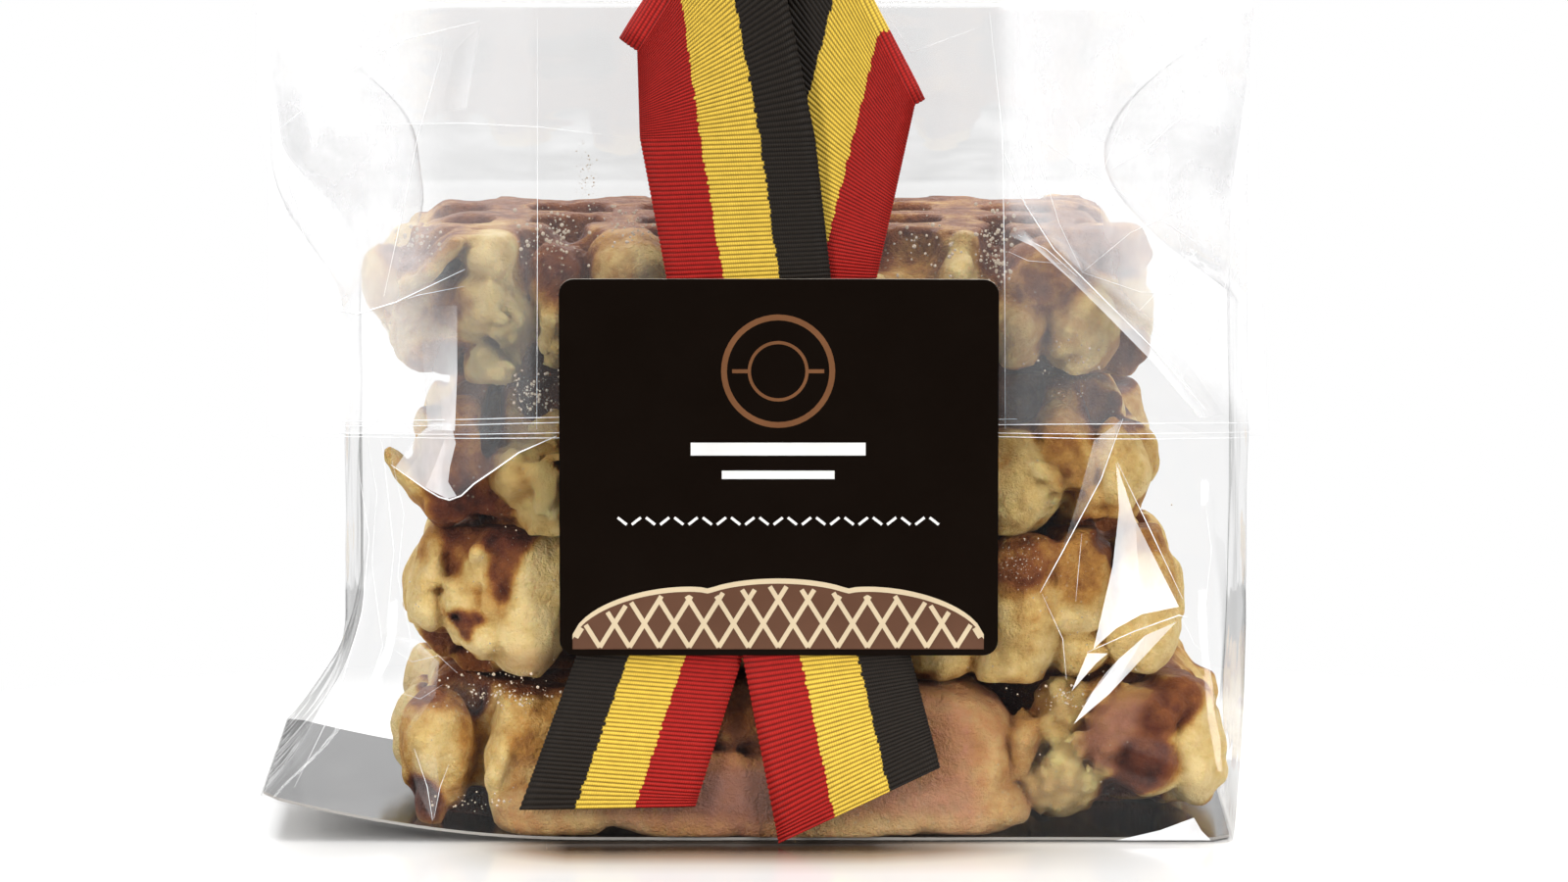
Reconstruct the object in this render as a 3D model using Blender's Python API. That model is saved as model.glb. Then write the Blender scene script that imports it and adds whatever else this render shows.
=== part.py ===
"""A clear gusseted bag of waffles with its top folded down over the front.

A striped ribbon loop stands in front of the fold and its two tails cross under a
square label. Units are metres, +Z is up, +X is to the right of someone facing the
front, and -Y is towards them. The origin lies on the standing plane, under the
middle of the bag. The bag's waffles and card fill it, so the bag is one solid out
to the film.
"""

import math

import bmesh
import bpy
from mathutils import Vector

MM = 0.001

# --- Bag body -----------------------------------------------------------------
DEPTH = 82 * MM  # front panel to back panel, twice a gusset's folded width
FRONT = -DEPTH / 2
BACK = DEPTH / 2
BASE_LEFT = -81.5 * MM  # the card in the base is wider than the filled body
BASE_RIGHT = 70.0 * MM
BODY_LEFT = -68.6 * MM
BODY_RIGHT = 72.2 * MM
TOP_LEFT = -79.5 * MM  # the tube lies flat at the fold and shows its whole width
TOP_RIGHT = 72.2 * MM
FLARE_HEIGHT = 34 * MM  # below this the sides run out to the card's corners
FILL_HEIGHT = 94 * MM  # top of the waffles, where the back panel starts to lean
FOLD_HEIGHT = 130 * MM
FOLD_THICKNESS = 1.6 * MM
BASE_CORNER = 3 * MM
BODY_CORNER = 12 * MM
TUCK_DEPTH = 22 * MM  # how far each gusset is drawn in below the fold
TUCK_START = 82 * MM

# --- Curl of the base ------------------------------------------------------------
CURL_START = -30 * MM  # to the right of this the base lies flat
CURL_LIFT = 7 * MM  # rise of the card's left edge

# --- Flap ---------------------------------------------------------------------------
FLAP_THICKNESS = 1.5 * MM
FLAP_EMBED = 0.5 * MM  # how far the flap's back face lies inside the front panel
FLAP_BOTTOM = 64.5 * MM
FLAP_LOW_LEFT = -79.5 * MM
FLAP_LOW_RIGHT = 74.6 * MM
FLAP_HIGH_LEFT = -81.1 * MM
FLAP_HIGH_RIGHT = 72.0 * MM
FLAP_STEP = 3.5 * MM  # the inner layers stop short of the lower right corner
FLAP_WAVE = 0.5 * MM

# --- Label ---------------------------------------------------------------------------
LABEL_WIDTH = 67.8 * MM
LABEL_HEIGHT = 58.6 * MM
LABEL_THICKNESS = 0.5 * MM
LABEL_CORNER = 2.3 * MM
LABEL_CENTRE_X = -0.8 * MM
LABEL_CENTRE_Z = 59.3 * MM

# --- Ribbon --------------------------------------------------------------------------
RIBBON_THICKNESS = 0.5 * MM
CLEARANCE = 0.3 * MM
FLAP_FRONT = FRONT + FLAP_EMBED - FLAP_THICKNESS
UNDER_Y = FLAP_FRONT - CLEARANCE - RIBBON_THICKNESS / 2
OVER_Y = UNDER_Y - CLEARANCE - RIBBON_THICKNESS
LABEL_BACK_Y = OVER_Y - RIBBON_THICKNESS / 2 - CLEARANCE
LEFT_FOLD_RADIUS = 3.2 * MM
LEFT_FOLD_Y = -46.8 * MM  # axis about which the left strip turns back
RIGHT_FOLD_RADIUS = 1.6 * MM
RIGHT_FOLD_Y = -44.6 * MM
LOOP_BACK_BULGE = 3 * MM  # how far the inner edge stands back at the loop's top
LEFT_TURN_SLOPE = 0.32  # rise of the ribbon as it leaves each fold for the back
RIGHT_TURN_SLOPE = 0.28

# Where the ribbon's outer (red) and inner (black) edges pass, as (x, z).
LEFT_TAIL_END = ((-13.8 * MM, 6.0 * MM), (-41.1 * MM, 5.5 * MM))
LEFT_TAIL_TOP = ((-6.4 * MM, 29.6 * MM), (-32.2 * MM, 29.6 * MM))
RIGHT_STRIP_FOOT = ((14.3 * MM, 88.7 * MM), (-11.6 * MM, 88.7 * MM))
RIGHT_FOLD = ((21.5 * MM, 116.4 * MM), (5.2 * MM, 147.8 * MM))
LEFT_FOLD = ((-25.1 * MM, 126.0 * MM), (-6.5 * MM, 155.0 * MM))
LEFT_STRIP_MIDDLE = ((-22.1 * MM, 110.5 * MM), (4.8 * MM, 110.5 * MM))
LEFT_STRIP_FOOT = ((-18.1 * MM, 88.8 * MM), (7.2 * MM, 88.8 * MM))
RIGHT_TAIL_TOP = ((-6.4 * MM, 29.8 * MM), (19.6 * MM, 29.8 * MM))
RIGHT_TAIL_END = ((-0.8 * MM, 0.4 * MM), (24.2 * MM, 12.3 * MM))

# --- Facets --------------------------------------------------------------------------
PANEL_STEPS = 14
SIDE_STEPS = 6
CORNER_STEPS = 3
FLARE_LEVELS = 5
WALL_LEVELS = 4
GABLE_LEVELS = 8
FLAP_COLUMNS = 20
FLAP_ROWS = 8
LABEL_CORNER_STEPS = 5
STRIP_STEPS = 6
FOLD_STEPS = 8
LOOP_STEPS = 10
STRIPES = 3


def mix(start, end, share):
    """The value that lies share of the way from start to end."""
    return start + (end - start) * share


def ease(share):
    """A smooth step from 0 to 1, held at its ends."""
    held = min(max(share, 0.0), 1.0)
    return held * held * (3 - 2 * held)


def make_material(name, color, roughness, metallic=0.0):
    """A Principled material of one plain colour."""
    material = bpy.data.materials.new(name)
    material.use_nodes = True
    shader = material.node_tree.nodes["Principled BSDF"]
    shader.inputs["Base Color"].default_value = (*color, 1.0)
    shader.inputs["Roughness"].default_value = roughness
    shader.inputs["Metallic"].default_value = metallic
    return material


def make_object(name, points, faces, materials):
    """A mesh object with its faces turned outwards."""
    mesh = bpy.data.meshes.new(name)
    mesh.from_pydata(points, [], faces)
    for material in materials:
        mesh.materials.append(material)
    shape = bmesh.new()
    shape.from_mesh(mesh)
    bmesh.ops.recalc_face_normals(shape, faces=shape.faces)
    shape.to_mesh(mesh)
    shape.free()
    thing = bpy.data.objects.new(name, mesh)
    bpy.context.collection.objects.link(thing)
    return thing


def loft_faces(levels, around):
    """Quads between closed rings of points."""
    faces = []
    for level in range(levels - 1):
        low = level * around
        high = low + around
        for step in range(around):
            after = (step + 1) % around
            faces.append((low + step, low + after, high + after, high + step))
    return faces


def end_faces(levels, around):
    """One face over the first ring and one over the last."""
    last = (levels - 1) * around
    return [tuple(range(around)), tuple(range(last, last + around))]


# --- Bag ---------------------------------------------------------------------------


def side_positions(height):
    """Where the body's left and right sides stand at a height."""
    if height < FLARE_HEIGHT:
        spread = (1 - height / FLARE_HEIGHT) ** 1.6
        left = mix(BODY_LEFT, BASE_LEFT, spread)
        right = mix(BODY_RIGHT, BASE_RIGHT, spread)
        return left, right
    widening = ease((height - TUCK_START) / (FILL_HEIGHT + 12 * MM - TUCK_START))
    return mix(BODY_LEFT, TOP_LEFT, widening), mix(BODY_RIGHT, TOP_RIGHT, widening)


def back_position(height):
    """The back panel stands upright to the fill and then leans to the fold."""
    lean = max(0.0, (height - FILL_HEIGHT) / (FOLD_HEIGHT - FILL_HEIGHT))
    return mix(BACK, FRONT + FOLD_THICKNESS, lean)


def tuck_at(height):
    """How far the gussets are drawn in, none at the fill and none in the fold."""
    share = (height - TUCK_START) / (FOLD_HEIGHT - TUCK_START)
    return TUCK_DEPTH * math.sin(math.pi * min(max(share, 0.0), 1.0))


def corner_arc(centre_x, centre_y, radius, start):
    """Points inside a quarter turn, without its two ends."""
    points = []
    for step in range(1, CORNER_STEPS):
        angle = start + math.pi / 2 * step / CORNER_STEPS
        x = centre_x + radius * math.cos(angle)
        y = centre_y + radius * math.sin(angle)
        points.append((x, y))
    return points


def gusset_run(outer, inward, first_y, last_y):
    """Points down one side, drawn in to a crease half way along."""
    points = []
    for step in range(SIDE_STEPS + 1):
        share = step / SIDE_STEPS
        draw = inward * (1 - abs(2 * share - 1))
        points.append((outer + draw, mix(first_y, last_y, share)))
    return points


def panel_run(first_x, last_x, y):
    """Evenly spaced points along the front or back panel."""
    return [
        (mix(first_x, last_x, step / PANEL_STEPS), y)
        for step in range(PANEL_STEPS + 1)
    ]


def body_section(height):
    """The body's outline at one height, counterclockwise from the front left."""
    left, right = side_positions(height)
    back = back_position(height)
    tuck = tuck_at(height)
    wanted = mix(BASE_CORNER, BODY_CORNER, ease(height / FLARE_HEIGHT))
    radius = min(wanted, 0.4 * (back - FRONT))
    near = FRONT + radius
    far = back - radius
    outline = panel_run(left + radius, right - radius, FRONT)
    outline += corner_arc(right - radius, near, radius, -math.pi / 2)
    outline += gusset_run(right, -tuck, near, far)
    outline += corner_arc(right - radius, far, radius, 0.0)
    outline += panel_run(right - radius, left + radius, back)
    outline += corner_arc(left + radius, far, radius, math.pi / 2)
    outline += gusset_run(left, tuck, far, near)
    outline += corner_arc(left + radius, near, radius, math.pi)
    return outline


def curl_at(x):
    """Rise of the base towards its left edge."""
    share = max(0.0, (CURL_START - x) / (CURL_START - BASE_LEFT))
    return CURL_LIFT * share * share


def body_levels():
    """Heights of the body's sections, from the base to the fold."""
    flare = [FLARE_HEIGHT * (step / FLARE_LEVELS) ** 1.5 for step in range(FLARE_LEVELS)]
    wall = [mix(FLARE_HEIGHT, TUCK_START, step / WALL_LEVELS) for step in range(WALL_LEVELS)]
    gable = [mix(TUCK_START, FOLD_HEIGHT, step / GABLE_LEVELS) for step in range(GABLE_LEVELS + 1)]
    return flare + wall + gable


def base_faces(around):
    """The underside as one strip for each panel step, so that it curls cleanly."""
    back_start = PANEL_STEPS + 2 * CORNER_STEPS + SIDE_STEPS
    back_end = back_start + PANEL_STEPS
    faces = [tuple(range(PANEL_STEPS, back_start + 1))]
    for step in range(PANEL_STEPS):
        far = back_end - step
        faces.append((step, step + 1, far - 1, far))
    faces.append((*range(back_end, around), 0))
    return faces


def make_body(material):
    """The filled body with its flared base, drawn-in gussets and leaning back."""
    points = []
    levels = body_levels()
    for height in levels:
        lift_share = max(0.0, 1 - height / FLARE_HEIGHT)
        for x, y in body_section(height):
            points.append((x, y, height + curl_at(x) * lift_share))
    around = len(points) // len(levels)
    last = (len(levels) - 1) * around
    faces = loft_faces(len(levels), around) + base_faces(around)
    faces.append(tuple(range(last, last + around)))
    return make_object("bag", points, faces, [material])


def flap_sides(height):
    """Where the flap's left and right edges hang at a height."""
    share = ease((height - 104 * MM) / (12 * MM))
    left = mix(FLAP_LOW_LEFT, FLAP_HIGH_LEFT, share)
    rise = (height - FLAP_BOTTOM) / (FOLD_HEIGHT - FLAP_BOTTOM)
    return left, mix(FLAP_LOW_RIGHT, FLAP_HIGH_RIGHT, rise)


def make_flap(material):
    """The flap as a thin slab that runs into the body's front panel."""
    points = []
    for side in (0, 1):
        for row in range(FLAP_ROWS + 1):
            rise = row / FLAP_ROWS
            height = mix(FLAP_BOTTOM, FOLD_HEIGHT, rise)
            left, right = flap_sides(height)
            for column in range(FLAP_COLUMNS + 1):
                across = column / FLAP_COLUMNS
                x = mix(left, right, across)
                step = FLAP_STEP * ease((across - 0.9) / 0.1) * (1 - rise) ** 4
                outer = ease(abs(2 * across - 1) * 2 - 1)
                wave = FLAP_WAVE * outer * math.sin(5 * math.pi * rise) * (1 - rise)
                y = FLAP_FRONT + side * FLAP_THICKNESS + wave
                points.append((x, y, height + step))
    wide = FLAP_COLUMNS + 1
    sheet = wide * (FLAP_ROWS + 1)
    faces = []
    for row in range(FLAP_ROWS):
        for column in range(FLAP_COLUMNS):
            corner = row * wide + column
            quad = (corner, corner + 1, corner + wide + 1, corner + wide)
            faces.append(quad)
            faces.append(tuple(sheet + index for index in quad))
    border = [column for column in range(wide)]
    border += [row * wide + wide - 1 for row in range(1, FLAP_ROWS + 1)]
    border += [FLAP_ROWS * wide + column for column in range(wide - 2, -1, -1)]
    border += [row * wide for row in range(FLAP_ROWS - 1, 0, -1)]
    for here, after in zip(border, border[1:] + border[:1]):
        faces.append((here, after, sheet + after, sheet + here))
    flap = make_object("flap_guide", points, faces, [material])
    flap.hide_render = True
    flap.display_type = "WIRE"
    return flap


def make_bag():
    """The body and its flap as one solid."""
    film = make_material("clear_film", (0.82, 0.84, 0.85), 0.12)
    body = make_body(film)
    union = body.modifiers.new("flap", "BOOLEAN")
    union.operation = "UNION"
    union.solver = "EXACT"
    union.object = make_flap(film)
    return body


# --- Label ---------------------------------------------------------------------------


def make_label():
    """A flat rounded square of coated paper over the crossing of the ribbon."""
    half_width = LABEL_WIDTH / 2 - LABEL_CORNER
    half_height = LABEL_HEIGHT / 2 - LABEL_CORNER
    centres = ((1, -1), (1, 1), (-1, 1), (-1, -1))
    points = []
    for depth in (LABEL_BACK_Y, LABEL_BACK_Y - LABEL_THICKNESS):
        for quarter, (side, end) in enumerate(centres):
            for step in range(LABEL_CORNER_STEPS + 1):
                angle = math.pi / 2 * (quarter - 1 + step / LABEL_CORNER_STEPS)
                x = LABEL_CENTRE_X + side * half_width + LABEL_CORNER * math.cos(angle)
                z = LABEL_CENTRE_Z + end * half_height + LABEL_CORNER * math.sin(angle)
                points.append((x, depth, z))
    paper = make_material("label_paper", (0.012, 0.008, 0.006), 0.22)
    around = len(points) // 2
    faces = loft_faces(2, around) + end_faces(2, around)
    return make_object("label", points, faces, [paper])


# --- Ribbon --------------------------------------------------------------------------


def edge_points(station, y):
    """A station's outer and inner edge points, both at one depth."""
    return tuple(Vector((x, y, z)) for x, z in station)


def between(first, last, steps):
    """Rulings that turn evenly from the first pair of edge points to the last."""
    rulings = []
    for step in range(steps):
        share = step / steps
        rulings.append(tuple(a.lerp(b, share) for a, b in zip(first, last)))
    return rulings


def turned_back(station, axis_y, radius, outward):
    """Rulings round half a cylinder that lies along the station, front to back."""
    outer, inner = edge_points(station, axis_y)
    along = (inner - outer).normalized()
    sideways = Vector((along.z, 0, -along.x)) * outward
    rulings = []
    for step in range(FOLD_STEPS + 1):
        angle = math.pi * step / FOLD_STEPS
        shift = sideways * radius * (math.sin(angle) - 1)
        shift += Vector((0, -radius * math.cos(angle), 0))
        rulings.append((outer + shift, inner + shift))
    return rulings


def arch_point(start, end, start_slope, end_slope, bulge, share):
    """A point on a low arch that leaves and meets its ends at the given slopes."""
    run = end.x - start.x
    rise = start_slope * share * (1 - share) ** 2 + end_slope * share**2 * (1 - share)
    point = start.lerp(end, ease(share))
    point.x = mix(start.x, end.x, share)
    point.z += run * rise
    point.y += bulge * math.sin(math.pi * share)
    return point


def loop_back(left, right):
    """Rulings across the back of the loop, from the right fold to the left one."""
    rulings = []
    for step in range(LOOP_STEPS - 1, 0, -1):
        share = step / LOOP_STEPS
        slopes = (LEFT_TURN_SLOPE, RIGHT_TURN_SLOPE)
        outer = arch_point(left[0], right[0], *slopes, 0.0, share)
        inner = arch_point(left[1], right[1], *slopes, LOOP_BACK_BULGE, share)
        rulings.append((outer, inner))
    return rulings


def ribbon_rulings():
    """Straight lines across the ribbon, from the left tail's end to the right's."""
    right_turn = turned_back(RIGHT_FOLD, RIGHT_FOLD_Y, RIGHT_FOLD_RADIUS, 1)
    left_turn = turned_back(LEFT_FOLD, LEFT_FOLD_Y, LEFT_FOLD_RADIUS, -1)
    tail_end = edge_points(LEFT_TAIL_END, UNDER_Y)
    tail_top = edge_points(LEFT_TAIL_TOP, UNDER_Y)
    right_foot = edge_points(RIGHT_STRIP_FOOT, UNDER_Y)
    middle_y = mix(OVER_Y, LEFT_FOLD_Y - LEFT_FOLD_RADIUS, 0.42)
    left_middle = edge_points(LEFT_STRIP_MIDDLE, middle_y)
    left_foot = edge_points(LEFT_STRIP_FOOT, OVER_Y)
    over_tail_top = edge_points(RIGHT_TAIL_TOP, OVER_Y)
    over_tail_end = edge_points(RIGHT_TAIL_END, OVER_Y)
    rulings = between(tail_end, tail_top, 2)
    rulings += between(tail_top, right_foot, 2)
    rulings += between(right_foot, right_turn[0], STRIP_STEPS)
    rulings += right_turn
    rulings += loop_back(left_turn[-1], right_turn[-1])
    rulings += reversed(left_turn)
    rulings += between(left_turn[0], left_middle, STRIP_STEPS)[1:]
    rulings += between(left_middle, left_foot, 2)
    rulings += between(left_foot, over_tail_top, 2)
    rulings += between(over_tail_top, over_tail_end, 2)
    rulings.append(over_tail_end)
    return rulings


def ruling_normal(rulings, index):
    """The ribbon's face direction at one of its rulings."""
    before = rulings[max(index - 1, 0)]
    after = rulings[min(index + 1, len(rulings) - 1)]
    run = (after[0] + after[1]) - (before[0] + before[1])
    across = rulings[index][1] - rulings[index][0]
    return run.cross(across).normalized()


def make_ribbon():
    """One striped ribbon that loops above the label and leaves it as two tails."""
    rulings = ribbon_rulings()
    points = []
    for index, (outer, inner) in enumerate(rulings):
        offset = ruling_normal(rulings, index) * (RIBBON_THICKNESS / 2)
        for step in range(STRIPES + 1):
            points.append(outer.lerp(inner, step / STRIPES) + offset)
        for step in range(STRIPES, -1, -1):
            points.append(outer.lerp(inner, step / STRIPES) - offset)
    around = 2 * (STRIPES + 1)
    colors = {
        "ribbon_red": (0.46, 0.015, 0.012),
        "ribbon_yellow": (0.86, 0.55, 0.07),
        "ribbon_black": (0.018, 0.014, 0.012),
    }
    cloths = [make_material(name, color, 0.6) for name, color in colors.items()]
    faces = loft_faces(len(rulings), around) + end_faces(len(rulings), around)
    ribbon = make_object("ribbon", points, faces, cloths)
    for face in ribbon.data.polygons:
        columns = [index % around for index in face.vertices]
        stripe = sum(min(column, around - 1 - column) for column in columns) / len(columns)
        face.material_index = min(int(stripe), STRIPES - 1)
    return ribbon


def main():
    """Clears the scene and models the pack."""
    for thing in list(bpy.data.objects):
        bpy.data.objects.remove(thing, do_unlink=True)
    make_bag()
    make_label()
    make_ribbon()


main()
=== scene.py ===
"""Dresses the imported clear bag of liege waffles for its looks.

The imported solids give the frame. The bag's solid is replaced by its film, card,
waffle layers and sugar drops, the label by a coated paper with a plain ornament,
and the ribbon by a ribbed one on the same path. Sizes are in millimetres and
become metres when a mesh is built.
"""

import logging
import math
from dataclasses import dataclass, field
from enum import Enum

import bmesh
import bpy
import numpy as np
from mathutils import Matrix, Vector
from mathutils.geometry import delaunay_2d_cdt


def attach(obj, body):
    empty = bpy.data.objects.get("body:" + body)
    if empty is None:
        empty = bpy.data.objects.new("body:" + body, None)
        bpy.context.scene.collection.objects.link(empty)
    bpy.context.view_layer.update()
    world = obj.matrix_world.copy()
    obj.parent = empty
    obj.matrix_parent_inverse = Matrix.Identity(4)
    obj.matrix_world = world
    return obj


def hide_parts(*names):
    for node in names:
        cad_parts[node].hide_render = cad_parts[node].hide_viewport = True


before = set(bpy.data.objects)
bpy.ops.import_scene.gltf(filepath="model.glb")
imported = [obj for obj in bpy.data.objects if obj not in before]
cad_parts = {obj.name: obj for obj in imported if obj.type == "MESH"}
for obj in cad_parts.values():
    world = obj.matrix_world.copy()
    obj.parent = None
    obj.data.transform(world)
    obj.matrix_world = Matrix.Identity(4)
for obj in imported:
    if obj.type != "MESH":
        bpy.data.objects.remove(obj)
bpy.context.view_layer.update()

MM = 0.001
ROOT = "root"
Color = tuple[float, float, float]
log = logging.getLogger("waffle_bag")


# --- Small helpers -------------------------------------------------------------------


def mix(start: float, end: float, share: float) -> float:
    """The value that lies share of the way from start to end."""
    return start + (end - start) * share


def ease(share: float) -> float:
    """A smooth step from 0 to 1, held at its ends."""
    held = min(max(share, 0.0), 1.0)
    return held * held * (3 - 2 * held)


def smooth_step(low: float, high: float, values: np.ndarray) -> np.ndarray:
    """A smooth step from 0 at low to 1 at high, for arrays."""
    share = np.clip((values - low) / (high - low), 0.0, 1.0)
    return share * share * (3 - 2 * share)


def lattice_noise(shape: tuple[int, ...], cell: float, seed: int) -> np.ndarray:
    """Smooth random values between about -1 and 1 on a regular grid.

    Args:
        shape: Number of samples along each axis.
        cell: Samples between two random values.
        seed: Seed of the random values.

    Returns:
        An array of the given shape.
    """
    random = np.random.default_rng(seed)
    coarse = tuple(int(count / cell) + 4 for count in shape)
    values = random.uniform(-1, 1, coarse)
    for axis, count in enumerate(shape):
        place = np.arange(count) / cell + 1
        low = np.floor(place).astype(int)
        share = place - low
        weights = np.zeros((count, coarse[axis]))
        rows = np.arange(count)
        weights[rows, low - 1] = (1 - share) ** 3 / 6
        weights[rows, low] = (3 * share**3 - 6 * share**2 + 4) / 6
        weights[rows, low + 1] = (-3 * share**3 + 3 * share**2 + 3 * share + 1) / 6
        weights[rows, low + 2] = share**3 / 6
        values = np.moveaxis(np.tensordot(weights, values, axes=(1, axis)), 0, axis)
    return values * 1.8


@dataclass
class MeshSketch:
    """Points, faces and per-point values that become one mesh object.

    Args:
        points: Corner points in millimetres, one row each.
        faces: Tuples of point numbers, counterclockwise from outside.
        materials: Material number of each face, or None for all zero.
        values: Named float values, one for each point.
        texture: Flat position of each point for a UV map, or None.
    """

    points: np.ndarray
    faces: list
    materials: list | None = None
    values: dict[str, np.ndarray] = field(default_factory=dict)
    texture: np.ndarray | None = None

    def build(self, name: str, finishes: list, smooth: bool = True) -> bpy.types.Object:
        """Makes the mesh object.

        Args:
            name: Name of the object.
            finishes: Its materials in slot order.
            smooth: Whether its faces are shaded smooth.

        Returns:
            The new object, at the origin.
        """
        mesh = bpy.data.meshes.new(name)
        points = np.asarray(self.points, dtype=float) * MM
        sizes = np.array([len(face) for face in self.faces], dtype=np.int32)
        corners = np.concatenate([np.asarray(face, dtype=np.int32) for face in self.faces])
        mesh.vertices.add(len(points))
        mesh.vertices.foreach_set("co", points.ravel())
        mesh.loops.add(len(corners))
        mesh.loops.foreach_set("vertex_index", corners)
        mesh.polygons.add(len(sizes))
        starts = np.concatenate([[0], np.cumsum(sizes)[:-1]]).astype(np.int32)
        mesh.polygons.foreach_set("loop_start", starts)
        if self.materials is not None:
            mesh.polygons.foreach_set("material_index", np.array(self.materials, np.int32))
        mesh.update(calc_edges=True)
        for finish in finishes:
            mesh.materials.append(finish)
        mesh.polygons.foreach_set("use_smooth", np.full(len(sizes), smooth))
        for label, numbers in self.values.items():
            attribute = mesh.attributes.new(label, "FLOAT", "POINT")
            attribute.data.foreach_set("value", np.asarray(numbers, np.float32))
        if self.texture is not None:
            layer = mesh.uv_layers.new(name="weave")
            flat = np.asarray(self.texture, np.float32)[corners]
            layer.data.foreach_set("uv", flat.ravel())
        mesh.validate()
        thing = bpy.data.objects.new(name, mesh)
        bpy.context.scene.collection.objects.link(thing)
        return thing


def strip_faces(rows: int, columns: int, start: int = 0) -> list[tuple[int, ...]]:
    """Quads between neighbouring rows of a rectangular grid of points."""
    faces = []
    for row in range(rows - 1):
        for column in range(columns - 1):
            corner = start + row * columns + column
            faces.append((corner, corner + 1, corner + columns + 1, corner + columns))
    return faces


def turn_outwards(thing: bpy.types.Object) -> None:
    """Recalculates a closed mesh's normals to point outwards."""
    shape = bmesh.new()
    shape.from_mesh(thing.data)
    bmesh.ops.recalc_face_normals(shape, faces=shape.faces)
    shape.to_mesh(thing.data)
    shape.free()


def realized(thing: bpy.types.Object, name: str) -> bpy.types.Object:
    """Turns an object's evaluated modifiers into a plain mesh object.

    Args:
        thing: The object that carries a Geometry Nodes modifier.
        name: Name of the finished piece.

    Returns:
        A new mesh object without modifiers; the old one is removed.
    """
    graph = bpy.context.evaluated_depsgraph_get()
    mesh = bpy.data.meshes.new_from_object(thing.evaluated_get(graph))
    mesh.name = name
    bpy.data.objects.remove(thing, do_unlink=True)
    made = bpy.data.objects.new(name, mesh)
    bpy.context.scene.collection.objects.link(made)
    return made


# --- Node building -------------------------------------------------------------------


class NodeSheet:
    """A thin wrapper that adds and joins nodes in one tree."""

    def __init__(self, tree: bpy.types.NodeTree) -> None:
        """Keeps the tree to add to."""
        self.tree = tree

    def add(self, kind: str, inputs: dict | None = None, **settings: object):
        """Adds a node.

        Args:
            kind: The node's type name.
            inputs: Values or source sockets by input name or number.
            settings: Properties of the node.

        Returns:
            The new node.
        """
        node = self.tree.nodes.new(kind)
        for name, value in settings.items():
            setattr(node, name, value)
        for name, value in (inputs or {}).items():
            socket = node.inputs[name]
            if isinstance(value, bpy.types.NodeSocket):
                self.tree.links.new(value, socket)
            else:
                socket.default_value = value
        return node

    def math(self, operation: str, first, second=0.0, third=0.0, clamp: bool = False):
        """Adds a Math node and returns its result."""
        inputs = {0: first, 1: second, 2: third}
        node = self.add("ShaderNodeMath", inputs, operation=operation, use_clamp=clamp)
        return node.outputs[0]

    def noise(self, place, scale: float, detail: float = 2.0, roughness: float = 0.5):
        """Adds a Noise Texture and returns its value."""
        inputs = {"Vector": place, "Scale": scale, "Detail": detail, "Roughness": roughness}
        return self.add("ShaderNodeTexNoise", inputs).outputs["Fac"]

    def blend(self, share, first, second):
        """Adds a colour Mix node and returns its result."""
        node = self.add("ShaderNodeMix", {"Factor": share}, data_type="RGBA")
        for socket, value in ((node.inputs[6], first), (node.inputs[7], second)):
            if isinstance(value, bpy.types.NodeSocket):
                self.tree.links.new(value, socket)
            else:
                socket.default_value = (*value, 1.0)
        return node.outputs[2]

    def ramp(self, share, stops: list[tuple[float, Color]]):
        """Adds a Color Ramp with the given stops and returns its colour."""
        node = self.add("ShaderNodeValToRGB", {"Fac": share})
        marks = node.color_ramp.elements
        while len(marks) < len(stops):
            marks.new(0.5)
        for mark, (place, color) in zip(marks, stops):
            mark.position = place
            mark.color = (*color, 1.0)
        return node.outputs["Color"]

    def bump(self, height, distance: float, strength: float = 1.0, normal=None):
        """Adds a Bump node and returns its normal."""
        inputs = {"Height": height, "Distance": distance, "Strength": strength}
        if normal is not None:
            inputs["Normal"] = normal
        return self.add("ShaderNodeBump", inputs).outputs["Normal"]

    def object_place(self):
        """The position on the piece, in metres."""
        return self.add("ShaderNodeTexCoord").outputs["Object"]

    def attribute(self, name: str):
        """The value of a named point attribute."""
        return self.add("ShaderNodeAttribute", attribute_name=name).outputs["Fac"]


def blank_material(name: str) -> tuple[bpy.types.Material, NodeSheet]:
    """A new material with an empty node tree."""
    material = bpy.data.materials.new(name)
    material.use_nodes = True
    material.node_tree.nodes.clear()
    return material, NodeSheet(material.node_tree)


def finish_material(sheet: NodeSheet, shader) -> None:
    """Joins a shader to the material's output."""
    sheet.add("ShaderNodeOutputMaterial", {"Surface": shader.outputs[0]})


# --- Finishes ------------------------------------------------------------------------


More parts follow.
